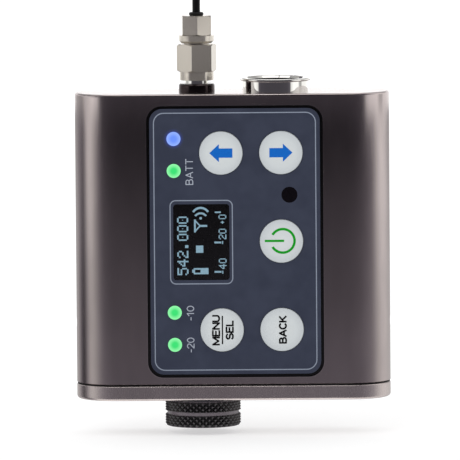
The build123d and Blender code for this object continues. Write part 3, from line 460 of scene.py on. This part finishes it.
def knurlTree(material):
    tree = bpy.data.node_groups.new("diamondKnurl", "GeometryNodeTree")
    tree.interface.new_socket("Geometry", in_out="INPUT", socket_type="NodeSocketGeometry")
    sizes = ("CentreX", "Outer", "Columns", "Rise", "Depth")
    for name in sizes:
        tree.interface.new_socket(name, in_out="INPUT", socket_type="NodeSocketFloat")
    tree.interface.new_socket("Geometry", in_out="OUTPUT", socket_type="NodeSocketGeometry")
    given = addNode(tree, "NodeGroupInput").outputs
    found = {name: given[name] for name in sizes}
    place = addNode(tree, "GeometryNodeInputPosition").outputs[0]
    found.update(addNode(tree, "ShaderNodeSeparateXYZ", {0: place}).outputs.items())
    sums = [  # name, operation, first, second: a name stands for what its own line came to
        ("across", "SUBTRACT", "X", "CentreX"),
        ("acrossSquared", "MULTIPLY", "across", "across"),
        ("outSquared", "MULTIPLY", "Y", "Y"),
        ("radiusSquared", "ADD", "acrossSquared", "outSquared"),
        ("radius", "SQRT", "radiusSquared", 0.0),
        ("bearing", "ARCTAN2", "Y", "across"),
        ("share", "DIVIDE", "bearing", math.tau),
        ("turn", "MULTIPLY", "share", "Columns"),
        ("climb", "DIVIDE", "Z", "Rise"),
        ("acrossUnit", "DIVIDE", "across", "radius"),
        ("outUnit", "DIVIDE", "Y", "radius"),
    ]
    for family, operation in (("right", "ADD"), ("left", "SUBTRACT")):  # two crossing families of V cuts
        sums += [(family + "Lead", operation, "turn", "climb"),
                 (family + "Wave", "FRACT", family + "Lead", 0.0),
                 (family + "Middle", "SUBTRACT", family + "Wave", 0.5),
                 (family + "Side", "ABSOLUTE", family + "Middle", 0.0),
                 (family + "Cut", "MULTIPLY", family + "Side", 2.0)]
    sums += [
        ("valley", "MAXIMUM", "rightCut", "leftCut"),  # 0 on a crest, 1 in a cut
        ("bandEdge", "SUBTRACT", "Outer", 0.02 * mm),
        ("onBand", "GREATER_THAN", "radius", "bandEdge"),
        ("deep", "MULTIPLY", "valley", "Depth"),
        ("sink", "MULTIPLY", "deep", "onBand"),
        ("inward", "MULTIPLY", "sink", -1.0),
        # crest sets the knob's painted shade in the cuts and its painted highlight on the crests
        ("cutShare", "MULTIPLY", "valley", "onBand"),
        ("crest", "SUBTRACT", 1.0, "cutShare"),
    ]
    for name, operation, first, second in sums:
        sockets = {0: found.get(first, first), 1: found.get(second, second)}
        found[name] = addNode(tree, "ShaderNodeMath", sockets, operation=operation).outputs[0]
    outward = addNode(tree, "ShaderNodeCombineXYZ", {"X": found["acrossUnit"], "Y": found["outUnit"]})
    offset = addNode(tree, "ShaderNodeVectorMath", {0: outward.outputs[0], "Scale": found["inward"]},
                     operation="SCALE").outputs[0]
    marked = addNode(tree, "GeometryNodeStoreNamedAttribute",  # crests are marked before the cuts are sunk
                     {"Geometry": given["Geometry"], "Name": "crest", "Value": found["crest"]},
                     data_type="FLOAT", domain="POINT").outputs[0]
    moved = addNode(tree, "GeometryNodeSetPosition", {"Geometry": marked, "Offset": offset}).outputs[0]
    plain = addNode(tree, "GeometryNodeRealizeInstances", {"Geometry": moved}).outputs[0]
    coated = addNode(tree, "GeometryNodeSetMaterial", {"Geometry": plain, "Material": material}).outputs[0]
    addNode(tree, "NodeGroupOutput", {"Geometry": coated})
    return tree


def plainMesh(holder, name):
    settled = holder.evaluated_get(bpy.context.evaluated_depsgraph_get())
    mesh = bpy.data.meshes.new_from_object(settled)
    mesh.name = name
    bpy.data.objects.remove(holder)
    return mesh


def knurledKnob(values):
    low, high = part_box("knob")
    centreX, outer = (low.x + high.x) / 2, (high.x - low.x) / 2
    step = values["rise"] / values["steps"]
    grooveFoot = (low.z + high.z) / 2 - values["grooveWidth"] / 2 + values["grooveLift"]
    grooveTop = grooveFoot + values["grooveWidth"]
    inner, rim, edge = [outer - values[key] for key in ("grooveDepth", "dishRim", "chamfer")]
    dishRoof, boreRoof = low.z + values["dish"], low.z + values["boreFoot"]
    profile = [(0, dishRoof), (rim - values["dishSlope"], dishRoof), (rim, low.z + values["rimLift"]),
               (rim + values["rimRound"], low.z), (edge - values["rimRound"], low.z),
               (edge, low.z + values["edgeLift"])]
    for foot, top in ((low.z + values["chamfer"], grooveFoot), (grooveTop, high.z - values["chamfer"])):
        if foot == grooveTop:
            profile += [(inner, grooveFoot), (inner, grooveTop)]
        count = round((top - foot) / step)
        profile += [(outer, foot + (top - foot) * i / count) for i in range(count + 1)]
    profile += [(edge, high.z - values["edgeLift"]), (edge - values["rimRound"], high.z),
                (values["bore"], high.z), (values["bore"], boreRoof), (0, boreRoof)]
    mesh = revolveMesh("knobBlank", centreX, profile, values["columns"] * values["steps"])
    blank = bpy.data.objects.new("knobBlank", mesh)
    bpy.context.scene.collection.objects.link(blank)
    tree = knurlTree(knobBlack)
    modifier = blank.modifiers.new("knurl", "NODES")
    modifier.node_group = tree
    sizes = {"CentreX": centreX, "Outer": outer, "Columns": values["columns"],
             "Rise": values["rise"], "Depth": values["depth"]}
    for socket in tree.interface.items_tree:
        if socket.in_out == "INPUT" and socket.name in sizes:
            modifier[socket.identifier] = float(sizes[socket.name])
    return meshPiece("knurledKnob", plainMesh(blank, "knurledKnob"), "knob", knobBlack, "knob")


knurledKnob(knobValues)
print("knob knurled")

printDepth = 0.02 * mm
inkLayer = 0.0003 * mm  # each letter stroke's ink lies this much over the one before
panelMiddle = boxCentre("panel_overlay")
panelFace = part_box("panel_overlay")[0].y
windowMiddle = boxCentre("display_window")


def flatMesh(name, outlines, face, layer=0.0):
    # each outline is a list of (x, z) corners, counter-clockwise seen from the front; holes aren't needed
    shape = bmesh.new()
    for place, outline in enumerate(outlines):  # layer lifts each over the one before, so none share a face
        front = face - printDepth - layer * place
        frontRing = [shape.verts.new((x, front, z)) for x, z in outline]
        backRing = [shape.verts.new((x, face, z)) for x, z in outline]
        shape.faces.new(frontRing)
        shape.faces.new(backRing[::-1])
        for i in range(len(outline)):
            j = (i + 1) % len(outline)
            shape.faces.new((frontRing[j], frontRing[i], backRing[i], backRing[j]))
    bmesh.ops.recalc_face_normals(shape, faces=shape.faces)
    mesh = bpy.data.meshes.new(name)
    shape.to_mesh(mesh)
    shape.free()
    return mesh


def bandOutlines(inner, outer, closed=True):
    # strips between two matching loops of points
    pairs = range(len(inner) if closed else len(inner) - 1)
    return [[outer[i], outer[(i + 1) % len(outer)], inner[(i + 1) % len(inner)], inner[i]] for i in pairs]


def roundedLoop(centre, width, height, radius, steps=8):
    loop = []
    for quarter, (sx, sz) in enumerate(((1, 1), (-1, 1), (-1, -1), (1, -1))):
        cx = centre[0] + sx * (width / 2 - radius)
        cz = centre[1] + sz * (height / 2 - radius)
        for step in range(steps + 1):
            angle = math.radians(90 * (quarter + step / steps))
            loop.append((cx + radius * math.cos(angle), cz + radius * math.sin(angle)))
    return loop


def frameLine(centre, width, height, radius, line):
    outer = roundedLoop(centre, width, height, radius)
    inner = roundedLoop(centre, width - 2 * line, height - 2 * line, radius - line)
    return bandOutlines(inner, outer)


def arcLine(centre, radius, line, start, end, steps=24):
    loops = []
    for r in (radius - line / 2, radius + line / 2):
        loops.append([(centre[0] + r * math.cos(math.radians(start + (end - start) * i / steps)),
                       centre[1] + r * math.sin(math.radians(start + (end - start) * i / steps)))
                      for i in range(steps + 1)])
    return bandOutlines(loops[0], loops[1], closed=False)


def rectangle(centre, width, height):
    x, z = centre
    return [(x - width / 2, z - height / 2), (x + width / 2, z - height / 2),
            (x + width / 2, z + height / 2), (x - width / 2, z + height / 2)]


# width, then runs of points in a box one unit high, or arcs of (x, z, radiusX, radiusZ, from, to)
letterStrokes = {
    "A": (0.68, [(0, 0), (0.34, 1), (0.68, 0)], [(0.14, 0.32), (0.54, 0.32)]),
    "B": (0.60, [(0.3, 0), (0, 0), (0, 1), (0.3, 1)], [(0, 0.53), (0.32, 0.53)],
          (0.30, 0.765, 0.24, 0.235, -90, 90), (0.32, 0.265, 0.28, 0.265, -90, 90)),
    "C": (0.64, (0.34, 0.5, 0.34, 0.5, 48, 312)),
    "E": (0.54, [(0.54, 0), (0, 0), (0, 1), (0.54, 1)], [(0, 0.53), (0.48, 0.53)]),
    "K": (0.62, [(0, 0), (0, 1)], [(0.58, 1), (0, 0.36)], [(0.2, 0.58), (0.62, 0)]),
    "L": (0.48, [(0, 1), (0, 0), (0.48, 0)]),
    "M": (0.76, [(0, 0), (0, 1), (0.38, 0.12), (0.76, 1), (0.76, 0)]),
    "N": (0.62, [(0, 0), (0, 1), (0.62, 0), (0.62, 1)]),
    "S": (0.58, (0.29, 0.745, 0.26, 0.255, 25, 270), (0.29, 0.255, 0.29, 0.255, -155, 90)),
    "T": (0.60, [(0, 1), (0.6, 1)], [(0.3, 0), (0.3, 1)]),
    "U": (0.60, [(0, 1), (0, 0.32)], [(0.6, 0.32), (0.6, 1)], (0.3, 0.32, 0.3, 0.32, 180, 360)),
    "0": (0.56, (0.28, 0.5, 0.28, 0.5, 0, 360)),
    "1": (0.34, [(0, 0.74), (0.26, 1), (0.26, 0)]),
    "2": (0.54, (0.27, 0.73, 0.27, 0.27, -38, 170), [(0.48, 0.56), (0, 0), (0.54, 0)]),
    "-": (0.30, [(0, 0.42), (0.3, 0.42)]),
}


def letterMesh(name, words, centre, length, height, face, weight):
    # words run upwards, letter tops to the left; weight is the stroke's width over the letters' height
    runs, pen = [], 0.0
    letterGap, strokeEnd = 0.20, 0.6  # of the letters' height, and of half a stroke's width
    for letter in words:
        width, *strokes = letterStrokes[letter]
        for stroke in strokes:
            if isinstance(stroke, tuple):
                x, z, across, up, begin, finish = stroke
                steps = max(6, round((finish - begin) / 15))
                angles = [math.radians(begin + (finish - begin) * i / steps) for i in range(steps + 1)]
                stroke = [(x + across * math.cos(a), z + up * math.sin(a)) for a in angles]
            runs.append([(pen + x, z) for x, z in stroke])
        pen += width + letterGap
    total = pen - letterGap + weight
    outlines = []
    for run in runs:
        for (ax, az), (bx, bz) in zip(run, run[1:]):
            a = Vector((ax * length / total, az * (1 - weight) * height))
            b = Vector((bx * length / total, bz * (1 - weight) * height))
            along = (b - a).normalized() * weight * height / 2
            side = Vector((-along.y, along.x))
            start, end = a - along * strokeEnd, b + along * strokeEnd
            corners = [start - side, end - side, end + side, start + side]
            origin = Vector((length / 2, height / 2)) - Vector((weight, weight)) * height / 2
            outlines.append([(centre[0] - (c - origin).y, centre[1] + (c - origin).x) for c in corners])
    return flatMesh(name, outlines, face, layer=inkLayer)


def printed(name, mesh, ink, body="case"):
    return meshPiece(name, mesh, body, ink)


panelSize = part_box("panel_overlay")[1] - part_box("panel_overlay")[0]
lineValues = {"inset": 0.75 * mm, "width": 0.21 * mm, "radius": 2.1 * mm,
              "displayWidth": 12.62 * mm, "displayHeight": 16.9 * mm, "displayRadius": 1.2 * mm}
middle = (panelMiddle.x, panelMiddle.z)
windowCentre = (windowMiddle.x, windowMiddle.z)
borders = frameLine(middle, panelSize.x - 2 * lineValues["inset"], panelSize.z - 2 * lineValues["inset"],
                    lineValues["radius"], lineValues["width"])
borders += frameLine(windowCentre, lineValues["displayWidth"], lineValues["displayHeight"],
                     lineValues["displayRadius"], lineValues["width"])
printed("printedBorders", flatMesh("printedBorders", borders, panelFace), inks["Line"])

lampWords = {  # words: offset from the panel's middle, length, height, all in mm
    "BATT": ((-9.07, 14.0), 5.25, 1.55),
    "-10": ((-9.05, -14.3), 3.0, 1.5),
    "-20": ((-9.05, -20.7), 3.0, 1.5),
}
printWeight = {"lamp": 0.12, "key": 0.205}  # stroke width over letter height
for i, (words, (offset, length, height)) in enumerate(lampWords.items()):
    centre = (middle[0] + offset[0] * mm, middle[1] + offset[1] * mm)
    mesh = letterMesh(f"lampLabel{i}", words, centre, length * mm, height * mm, panelFace,
                      printWeight["lamp"])
    printed(f"lampLabel{i}", mesh, inks["Grey"])

arrowValues = {"length": 4.6, "head": 1.9, "headWidth": 3.6, "shaft": 1.85}


def arrowOutline(centre, values, direction):
    half, head = values["length"] / 2, values["length"] / 2 - values["head"]
    shaft, wing = values["shaft"] / 2, values["headWidth"] / 2
    points = [(-half, -shaft), (head, -shaft), (head, -wing), (half, 0),
              (head, wing), (head, shaft), (-half, shaft)]
    return [(centre[0] + direction * x * mm, centre[1] + z * mm) for x, z in points][::direction]


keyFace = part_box("key_left")[0].y
for name, direction in (("key_left", -1), ("key_right", 1)):
    centre = (boxCentre(name).x, boxCentre(name).z)
    mesh = flatMesh(f"arrowOf.{name}", [arrowOutline(centre, arrowValues, direction)], keyFace)
    printed(f"arrowOf.{name}", mesh, inks["Blue"], name)

powerValues = {"ringOffset": (0.25, 0.07), "radius": 2.36, "line": 0.5, "opening": 31, "bar": 3.85,
               "barLine": 0.45, "barOffset": -1.4}
powerCentre = (boxCentre("key_power").x, boxCentre("key_power").z)
ringCentre = (powerCentre[0] + powerValues["ringOffset"][0] * mm,
              powerCentre[1] + powerValues["ringOffset"][1] * mm)
powerMark = arcLine(ringCentre, powerValues["radius"] * mm, powerValues["line"] * mm,
                    -180 + powerValues["opening"], 180 - powerValues["opening"], 40)
powerMark.append(rectangle((powerCentre[0] + powerValues["barOffset"] * mm, ringCentre[1]),
                           powerValues["bar"] * mm, powerValues["barLine"] * mm))
printed("powerMark", flatMesh("powerMark", powerMark, keyFace), inks["Green"], "key_power")

keyWords = {  # piece: key, words, offset, length, cap height
    "menuLabel": ("key_menu", "MENU", (-1.22, 0), 6.15, 1.62),
    "selectLabel": ("key_menu", "SEL", (1.5, 0), 3.95, 1.62),
    "backLabel": ("key_back", "BACK", (0.15, 0), 5.65, 1.60),
}
for piece, (key, words, offset, length, height) in keyWords.items():
    centre = (boxCentre(key).x + offset[0] * mm, boxCentre(key).z + offset[1] * mm)
    mesh = letterMesh(piece, words, centre, length * mm, height * mm, keyFace, printWeight["key"])
    printed(piece, mesh, inks["Black"], key)
dividerValues = {"offset": 0.05 * mm, "line": 0.26 * mm, "length": 5.7 * mm}
menuCentre = (boxCentre("key_menu").x + dividerValues["offset"], boxCentre("key_menu").z)
divider = rectangle(menuCentre, dividerValues["line"], dividerValues["length"])
printed("menuLine", flatMesh("menuLine", [divider], keyFace), inks["Black"], "key_menu")
print("panel printed")

dotRows = {  # five dots wide, seven high, top row first
    "0": ("01110", "10001", "10001", "10.01", "10001", "10001", "01110"),
    "O": ("01110", "10001", "10001", "10001", "10001", "10001", "01110"),
    "2": ("01110", "10001", "00001", "00110", "01000", "10000", "11111"),
    "4": ("00010", "00110", "01010", "10010", "11111", "00010", "00010"),
    "5": ("11111", "10000", "11110", "00001", "00001", "10001", "01110"),
    ".": ("00000", "00000", "00000", "00000", "00000", "01100", "01100"),
    "-": ("00000", "00000", "00000", "01110", "00000", "00000", "00000"),
    "+": ("00000", "00000", "00100", "01110", "00100", "00000", "00000"),
}
dotSizes = {"1": 1.02, ".": 0.55}  # of the dot pitch; a full stop stands for a small dot
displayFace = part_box("display_glass")[0].y


def dotText(words, centre, pitch, height):
    # words run upwards, letter tops to the left; one outline for each run of dots
    across, down = height / 7, pitch / 6
    start = -pitch * len(words) / 2 + down / 2
    outlines = []
    for place, letter in enumerate(words):
        for row, dots in enumerate(dotRows[letter]):
            for column, dot in enumerate(dots):
                if dot != "0":
                    along = start + place * pitch + (column + 0.5) * down
                    size = dotSizes[dot]
                    outlines.append(rectangle((centre[0] + (row - 3) * across, centre[1] + along),
                                              across * size, down * size))
    return outlines


def displayPoint(x, z):
    return (windowCentre[0] + x * mm, windowCentre[1] + z * mm)


displayMarks = {  # (x, z, width, height) in mm from the window's middle
    "ticks": [(3.30, 5.93, 1.20, 0.30), (3.27, -0.12, 1.38, 0.36), (3.27, -6.01, 1.38, 0.36)],
    "battery": [(0.58, -5.84, 1.58, 1.24), (-0.87, -5.39, 1.33, 0.33), (-0.87, -6.31, 1.33, 0.30),
                (-1.45, -5.84, 0.28, 1.10), (-1.70, -5.84, 0.36, 0.62)],
    "stop": [(-0.36, -1.44, 1.46, 1.45)],
    "antenna": [(-1.27, 3.22, 0.36, 2.59), (0.43, 3.22, 1.50, 0.40)],
}
displayArcs = [(-0.12, 4.42, 1.33, 0.38, 54), (-0.12, 5.07, 1.76, 0.42, 58)]  # x, z, radius, line, half angle
aerialValues = {"tip": -1.27, "middle": 3.22, "spread": 1.12, "foot": -0.25, "line": 0.38}
sourceValues = {"x": -0.12, "z": 4.76, "radius": 0.27, "corners": 12}  # the dot that the arcs start from
displayWords = [("542.000", -3.72, -0.75, 1.717, 2.21), ("-4O", 4.22, -4.95, 1.14, 1.55),
                ("-2O", 4.22, 1.0, 1.14, 1.55), ("+O", 4.22, 4.46, 1.08, 1.55)]

marks = []
for words, x, z, pitch, height in displayWords:
    marks += dotText(words, displayPoint(x, z), pitch * mm, height * mm)
for group in displayMarks.values():
    marks += [rectangle(displayPoint(x, z), width * mm, height * mm) for x, z, width, height in group]
half = aerialValues["line"] / 2 * mm
for side in (-1, 1):  # the aerial's two arms
    a = displayPoint(aerialValues["tip"], aerialValues["middle"] + side * aerialValues["spread"])
    b = displayPoint(aerialValues["foot"], aerialValues["middle"])
    marks.append([(a[0], a[1] - half), (b[0], b[1] - half), (b[0], b[1] + half), (a[0], a[1] + half)])
for x, z, radius, line, halfAngle in displayArcs:
    marks += arcLine(displayPoint(x, z), radius * mm, line * mm, 90 - halfAngle, 90 + halfAngle, 16)
angles = [i * math.tau / sourceValues["corners"] for i in range(sourceValues["corners"])]
marks.append([displayPoint(sourceValues["x"] + sourceValues["radius"] * math.cos(angle),
                           sourceValues["z"] + sourceValues["radius"] * math.sin(angle)) for angle in angles])
printed("displayDots", flatMesh("displayDots", marks, displayFace), dotBlue, "case")
print("display lit")

# matt floor, dropped far enough to leave room for the knob's travel
stageValues = {"floor": 6.0, "drop": 1.5 * mm, "paint": "#cccccc", "glow": 0.5, "matt": 0.92, "eye": 1.05,
               "above": 1.5, "below": 1.15, "horizon": (-0.05, 0.02)}
floorMaterial, tree, shader = newMaterial("paintedStudioFloor", Roughness=0.9, Emission_Color=(1, 1, 1, 1),
                                          Base_Color=linear(stageValues["paint"]),
                                          Emission_Strength=stageValues["glow"])


def flatSheet(name, corners, material):
    mesh = bpy.data.meshes.new(name)
    mesh.from_pydata(corners, [], [(0, 1, 2, 3)])
    mesh.materials.append(material)
    return mesh


half = stageValues["floor"] / 2
corners = [(x * half, y * half, -stageValues["drop"]) for x, y in ((-1, -1), (1, -1), (1, 1), (-1, 1))]
floor = bpy.data.objects.new("studioFloor", flatSheet("studioFloor", corners, floorMaterial))
floor.visible_glossy = False
bpy.context.scene.collection.objects.link(floor)

# white room for the eye and for matt surfaces; gloss sees the studio wall below, and beyond it a paler room
world = bpy.data.worlds.new("studioRoom")
bpy.context.scene.world = world
world.use_nodes = True
world.cycles.sampling_method = "NONE"  # so that gloss sees only its own room
tree = world.node_tree
tree.nodes.clear()
ray = addNode(tree, "ShaderNodeLightPath").outputs
direction = addNode(tree, "ShaderNodeTexCoord").outputs["Generated"]
height = addNode(tree, "ShaderNodeSeparateXYZ", {0: direction}).outputs["Z"]
low, high = stageValues["horizon"]
share = addNode(tree, "ShaderNodeMapRange", {"Value": height, "From Min": low, "From Max": high}).outputs[0]
sky = paint(tree, share, [(0.0, (0, 0, 0, 1)), (1.0, (1, 1, 1, 1))])
glossTone = addNode(tree, "ShaderNodeMapRange", {"Value": sky, "To Min": stageValues["below"],
                                                 "To Max": stageValues["above"]}).outputs[0]
glossRoom, mattRoom, eyeRoom = [
    addNode(tree, "ShaderNodeBackground", {"Color": (1, 1, 1, 1), "Strength": strength}).outputs[0]
    for strength in (glossTone, stageValues["matt"], stageValues["eye"])]
glassy = addNode(tree, "ShaderNodeMath", {0: ray["Is Glossy Ray"], 1: ray["Is Transmission Ray"]},
                 operation="MAXIMUM").outputs[0]
indoors = addNode(tree, "ShaderNodeMixShader", {0: glassy, 1: mattRoom, 2: glossRoom}).outputs[0]
seen = addNode(tree, "ShaderNodeMixShader", {0: ray["Is Camera Ray"], 1: indoors, 2: eyeRoom}).outputs[0]
addNode(tree, "ShaderNodeOutputWorld", {"Surface": seen})

# studio wall wrapped round the case, seen only in reflections: dark in front, light at the sides; the crown
# is the height that the case's roof and the socket look at, and the plume the one above it, for the plug
wallValues = {
    "radius": 60 * mm, "foot": -80 * mm, "top": 220 * mm, "sweep": 171, "facet": 3, "lowTone": 4 * mm,
    "highTone": 60 * mm, "crownFoot": 58.5 * mm, "crownTop": 60.5 * mm, "plumeFoot": 71 * mm,
    "plumeTop": 74 * mm, "crownEnd": 84 * mm, "crownFade": 6 * mm, "darks": 0.5, "shade": (0.0, 0.09, -0.14),
    "cloths": [("blackHood", 95 * mm, 220 * mm, 0.12), ("greyBackdrop", -80 * mm, 63 * mm, 0.26)],
    # painted tones, as (bearing from the front in degrees, brightness)
    "high": [  # from highTone up
        (-171, 0.55), (-150, 0.50), (-138, 0.45), (-122, 0.34), (-110, 0.24), (-101, 0.14), (-92, 0.42),
        (-83, 0.92), (-70, 0.92), (-60, 0.54), (-49, 0.22), (-40, 0.07), (-31, 0.035), (-14, 0.02),
        (0, 0.01), (18, 0.018), (29, 0.03), (41, 0.06), (53, 0.10), (66, 0.22), (80, 0.72), (96, 1.12),
        (114, 0.98), (139, 0.45), (171, 0.50)],
    "low": [  # from lowTone down
        (-171, 0.50), (-150, 0.62), (-138, 0.62), (-122, 0.34), (-112, 0.10), (-100, 0.02), (-88, 0.30),
        (-78, 0.60), (-69, 0.60), (-59, 0.50), (-49, 0.34), (-40, 0.24), (-31, 0.19), (-14, 0.16),
        (0, 0.155), (18, 0.18), (29, 0.19), (41, 0.22), (53, 0.27), (66, 0.34), (80, 0.60), (96, 0.80),
        (114, 0.86), (139, 0.70), (171, 0.60)],
    "crown": [
        (-171, 1.3), (-150, 1.2), (-132, 0.55), (-118, 0.60), (-108, 0.45), (-100, 0.5), (-92, 0.8),
        (-78, 0.85), (-68, 1.2), (-62, 1.25), (-48, 1.0), (-41, 0.12), (-30, 0.08), (0, 0.07), (30, 0.08),
        (42, 0.12), (48, 1.0), (60, 1.35), (84, 1.3), (92, 0.5), (102, 0.5), (110, 1.2), (130, 1.2),
        (171, 1.3)],
    "plume": [
        (-171, 1.3), (-120, 1.0), (-90, 1.0), (-76, 0.75), (-64, 0.28), (-40, 0.14), (0, 0.10),
        (36, 0.14), (50, 0.40), (60, 0.85), (84, 1.1), (120, 1.1), (171, 1.3)],
}


def glowing(name):
    material = bpy.data.materials.new(name)
    material.use_nodes = True
    tree = material.node_tree
    tree.nodes.clear()
    light = addNode(tree, "ShaderNodeEmission", {"Strength": 1.0})
    addNode(tree, "ShaderNodeOutputMaterial", {"Surface": light.outputs[0]})
    return material, tree, light


def toned(brightness, values):
    # the darks lean a little to violet
    lean = max(0.0, 1 - brightness / values["darks"])
    return tuple(brightness * (1 - share * lean) for share in values["shade"]) + (1,)


def studioWall(values):
    low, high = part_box("housing")
    bend = (high.x - low.x) / 2 - (high.y - low.y) / 2  # it is struck from the centres of the case's ends
    sweep, facet, loop = values["sweep"], values["facet"], []
    for side, angles in ((-1, range(-sweep, 1, facet)), (1, range(0, sweep + 1, facet))):
        loop += [(side * bend + values["radius"] * math.sin(math.radians(a)),
                  -values["radius"] * math.cos(math.radians(a))) for a in angles]
    points = [(x, y, z) for z in (values["foot"], values["top"]) for x, y in loop]
    count = len(loop)
    mesh = bpy.data.meshes.new("studioWall")
    mesh.from_pydata(points, [], [(i, i + 1, count + i + 1, count + i) for i in range(count - 1)])
    material, tree, light = glowing("paintedStudioWall")
    place = addNode(tree, "ShaderNodeTexCoord").outputs["Object"]
    place = addNode(tree, "ShaderNodeSeparateXYZ", {0: place}).outputs
    held = addNode(tree, "ShaderNodeClamp", {"Value": place["X"], "Min": -bend, "Max": bend}).outputs[0]
    aside = addNode(tree, "ShaderNodeMath", {0: place["X"], 1: held}, operation="SUBTRACT").outputs[0]
    facing = addNode(tree, "ShaderNodeMath", {0: place["Y"], 1: -1.0}, operation="MULTIPLY").outputs[0]
    bearing = addNode(tree, "ShaderNodeMath", {0: aside, 1: facing}, operation="ARCTAN2").outputs[0]
    share = addNode(tree, "ShaderNodeMapRange", {"Value": bearing, "From Min": -math.pi,
                                                 "From Max": math.pi}).outputs[0]
    plume, crown, upper, lower = [
        paint(tree, share, [((a + 180) / 360, toned(brightness, values)) for a, brightness in values[key]])
        for key in ("plume", "crown", "high", "low")]
    climb, crowned, plumed = [
        addNode(tree, "ShaderNodeMapRange", {"Value": place["Z"], "From Min": values[foot],
                                             "From Max": values[top]}).outputs[0]
        for foot, top in (("lowTone", "highTone"), ("crownFoot", "crownTop"), ("plumeFoot", "plumeTop"))]
    crownEnd = values["crownEnd"]
    fading = addNode(tree, "ShaderNodeMapRange", {"Value": place["Z"], "From Min": crownEnd,
                                                  "From Max": crownEnd + values["crownFade"],
                                                  "To Min": 1.0, "To Max": 0.0}).outputs[0]
    crowned = addNode(tree, "ShaderNodeMath", {0: crowned, 1: fading}, operation="MULTIPLY").outputs[0]
    crown = addNode(tree, "ShaderNodeMixRGB", {"Fac": plumed, "Color1": crown, "Color2": plume}).outputs[0]
    tone = addNode(tree, "ShaderNodeMixRGB", {"Fac": climb, "Color1": lower, "Color2": upper}).outputs[0]
    tone = addNode(tree, "ShaderNodeMixRGB", {"Fac": crowned, "Color1": tone, "Color2": crown}).outputs[0]
    tree.links.new(tone, light.inputs["Color"])
    mesh.materials.append(material)
    reach = bend + values["radius"] * math.sin(math.radians(180 - sweep))
    panels = [("studioWall", mesh)]
    for name, foot, top, brightness in values["cloths"]:  # they close the gap behind, but for a white slot
        felt, tree, light = glowing(name + "Felt")
        light.inputs["Color"].default_value = toned(brightness, values)
        corners = [(x * reach, values["radius"], z) for x, z in ((-1, foot), (1, foot), (1, top), (-1, top))]
        panels.append((name, flatSheet(name, corners, felt)))
    for name, shape in panels:
        panel = bpy.data.objects.new(name, shape)
        bpy.context.scene.collection.objects.link(panel)
        for kind in ("camera", "diffuse", "shadow", "volume_scatter"):
            setattr(panel, f"visible_{kind}", False)


studioWall(wallValues)

lampValues = {"size": 0.5, "energy": 1.2, "place": (-0.35, -0.75, 0.75), "aim": (0, 0, 0.04)}
keyLight = bpy.data.lights.new("softKey", "AREA")
keyLight.shape = "DISK"
keyLight.size = lampValues["size"]
keyLight.energy = lampValues["energy"]
lamp = bpy.data.objects.new("softKey", keyLight)
lamp.location = lampValues["place"]
aim = Vector(lampValues["aim"]) - lamp.location
lamp.rotation_euler = aim.to_track_quat("-Z", "Y").to_euler()
lamp.visible_glossy = False
bpy.context.scene.collection.objects.link(lamp)
print("stage set")
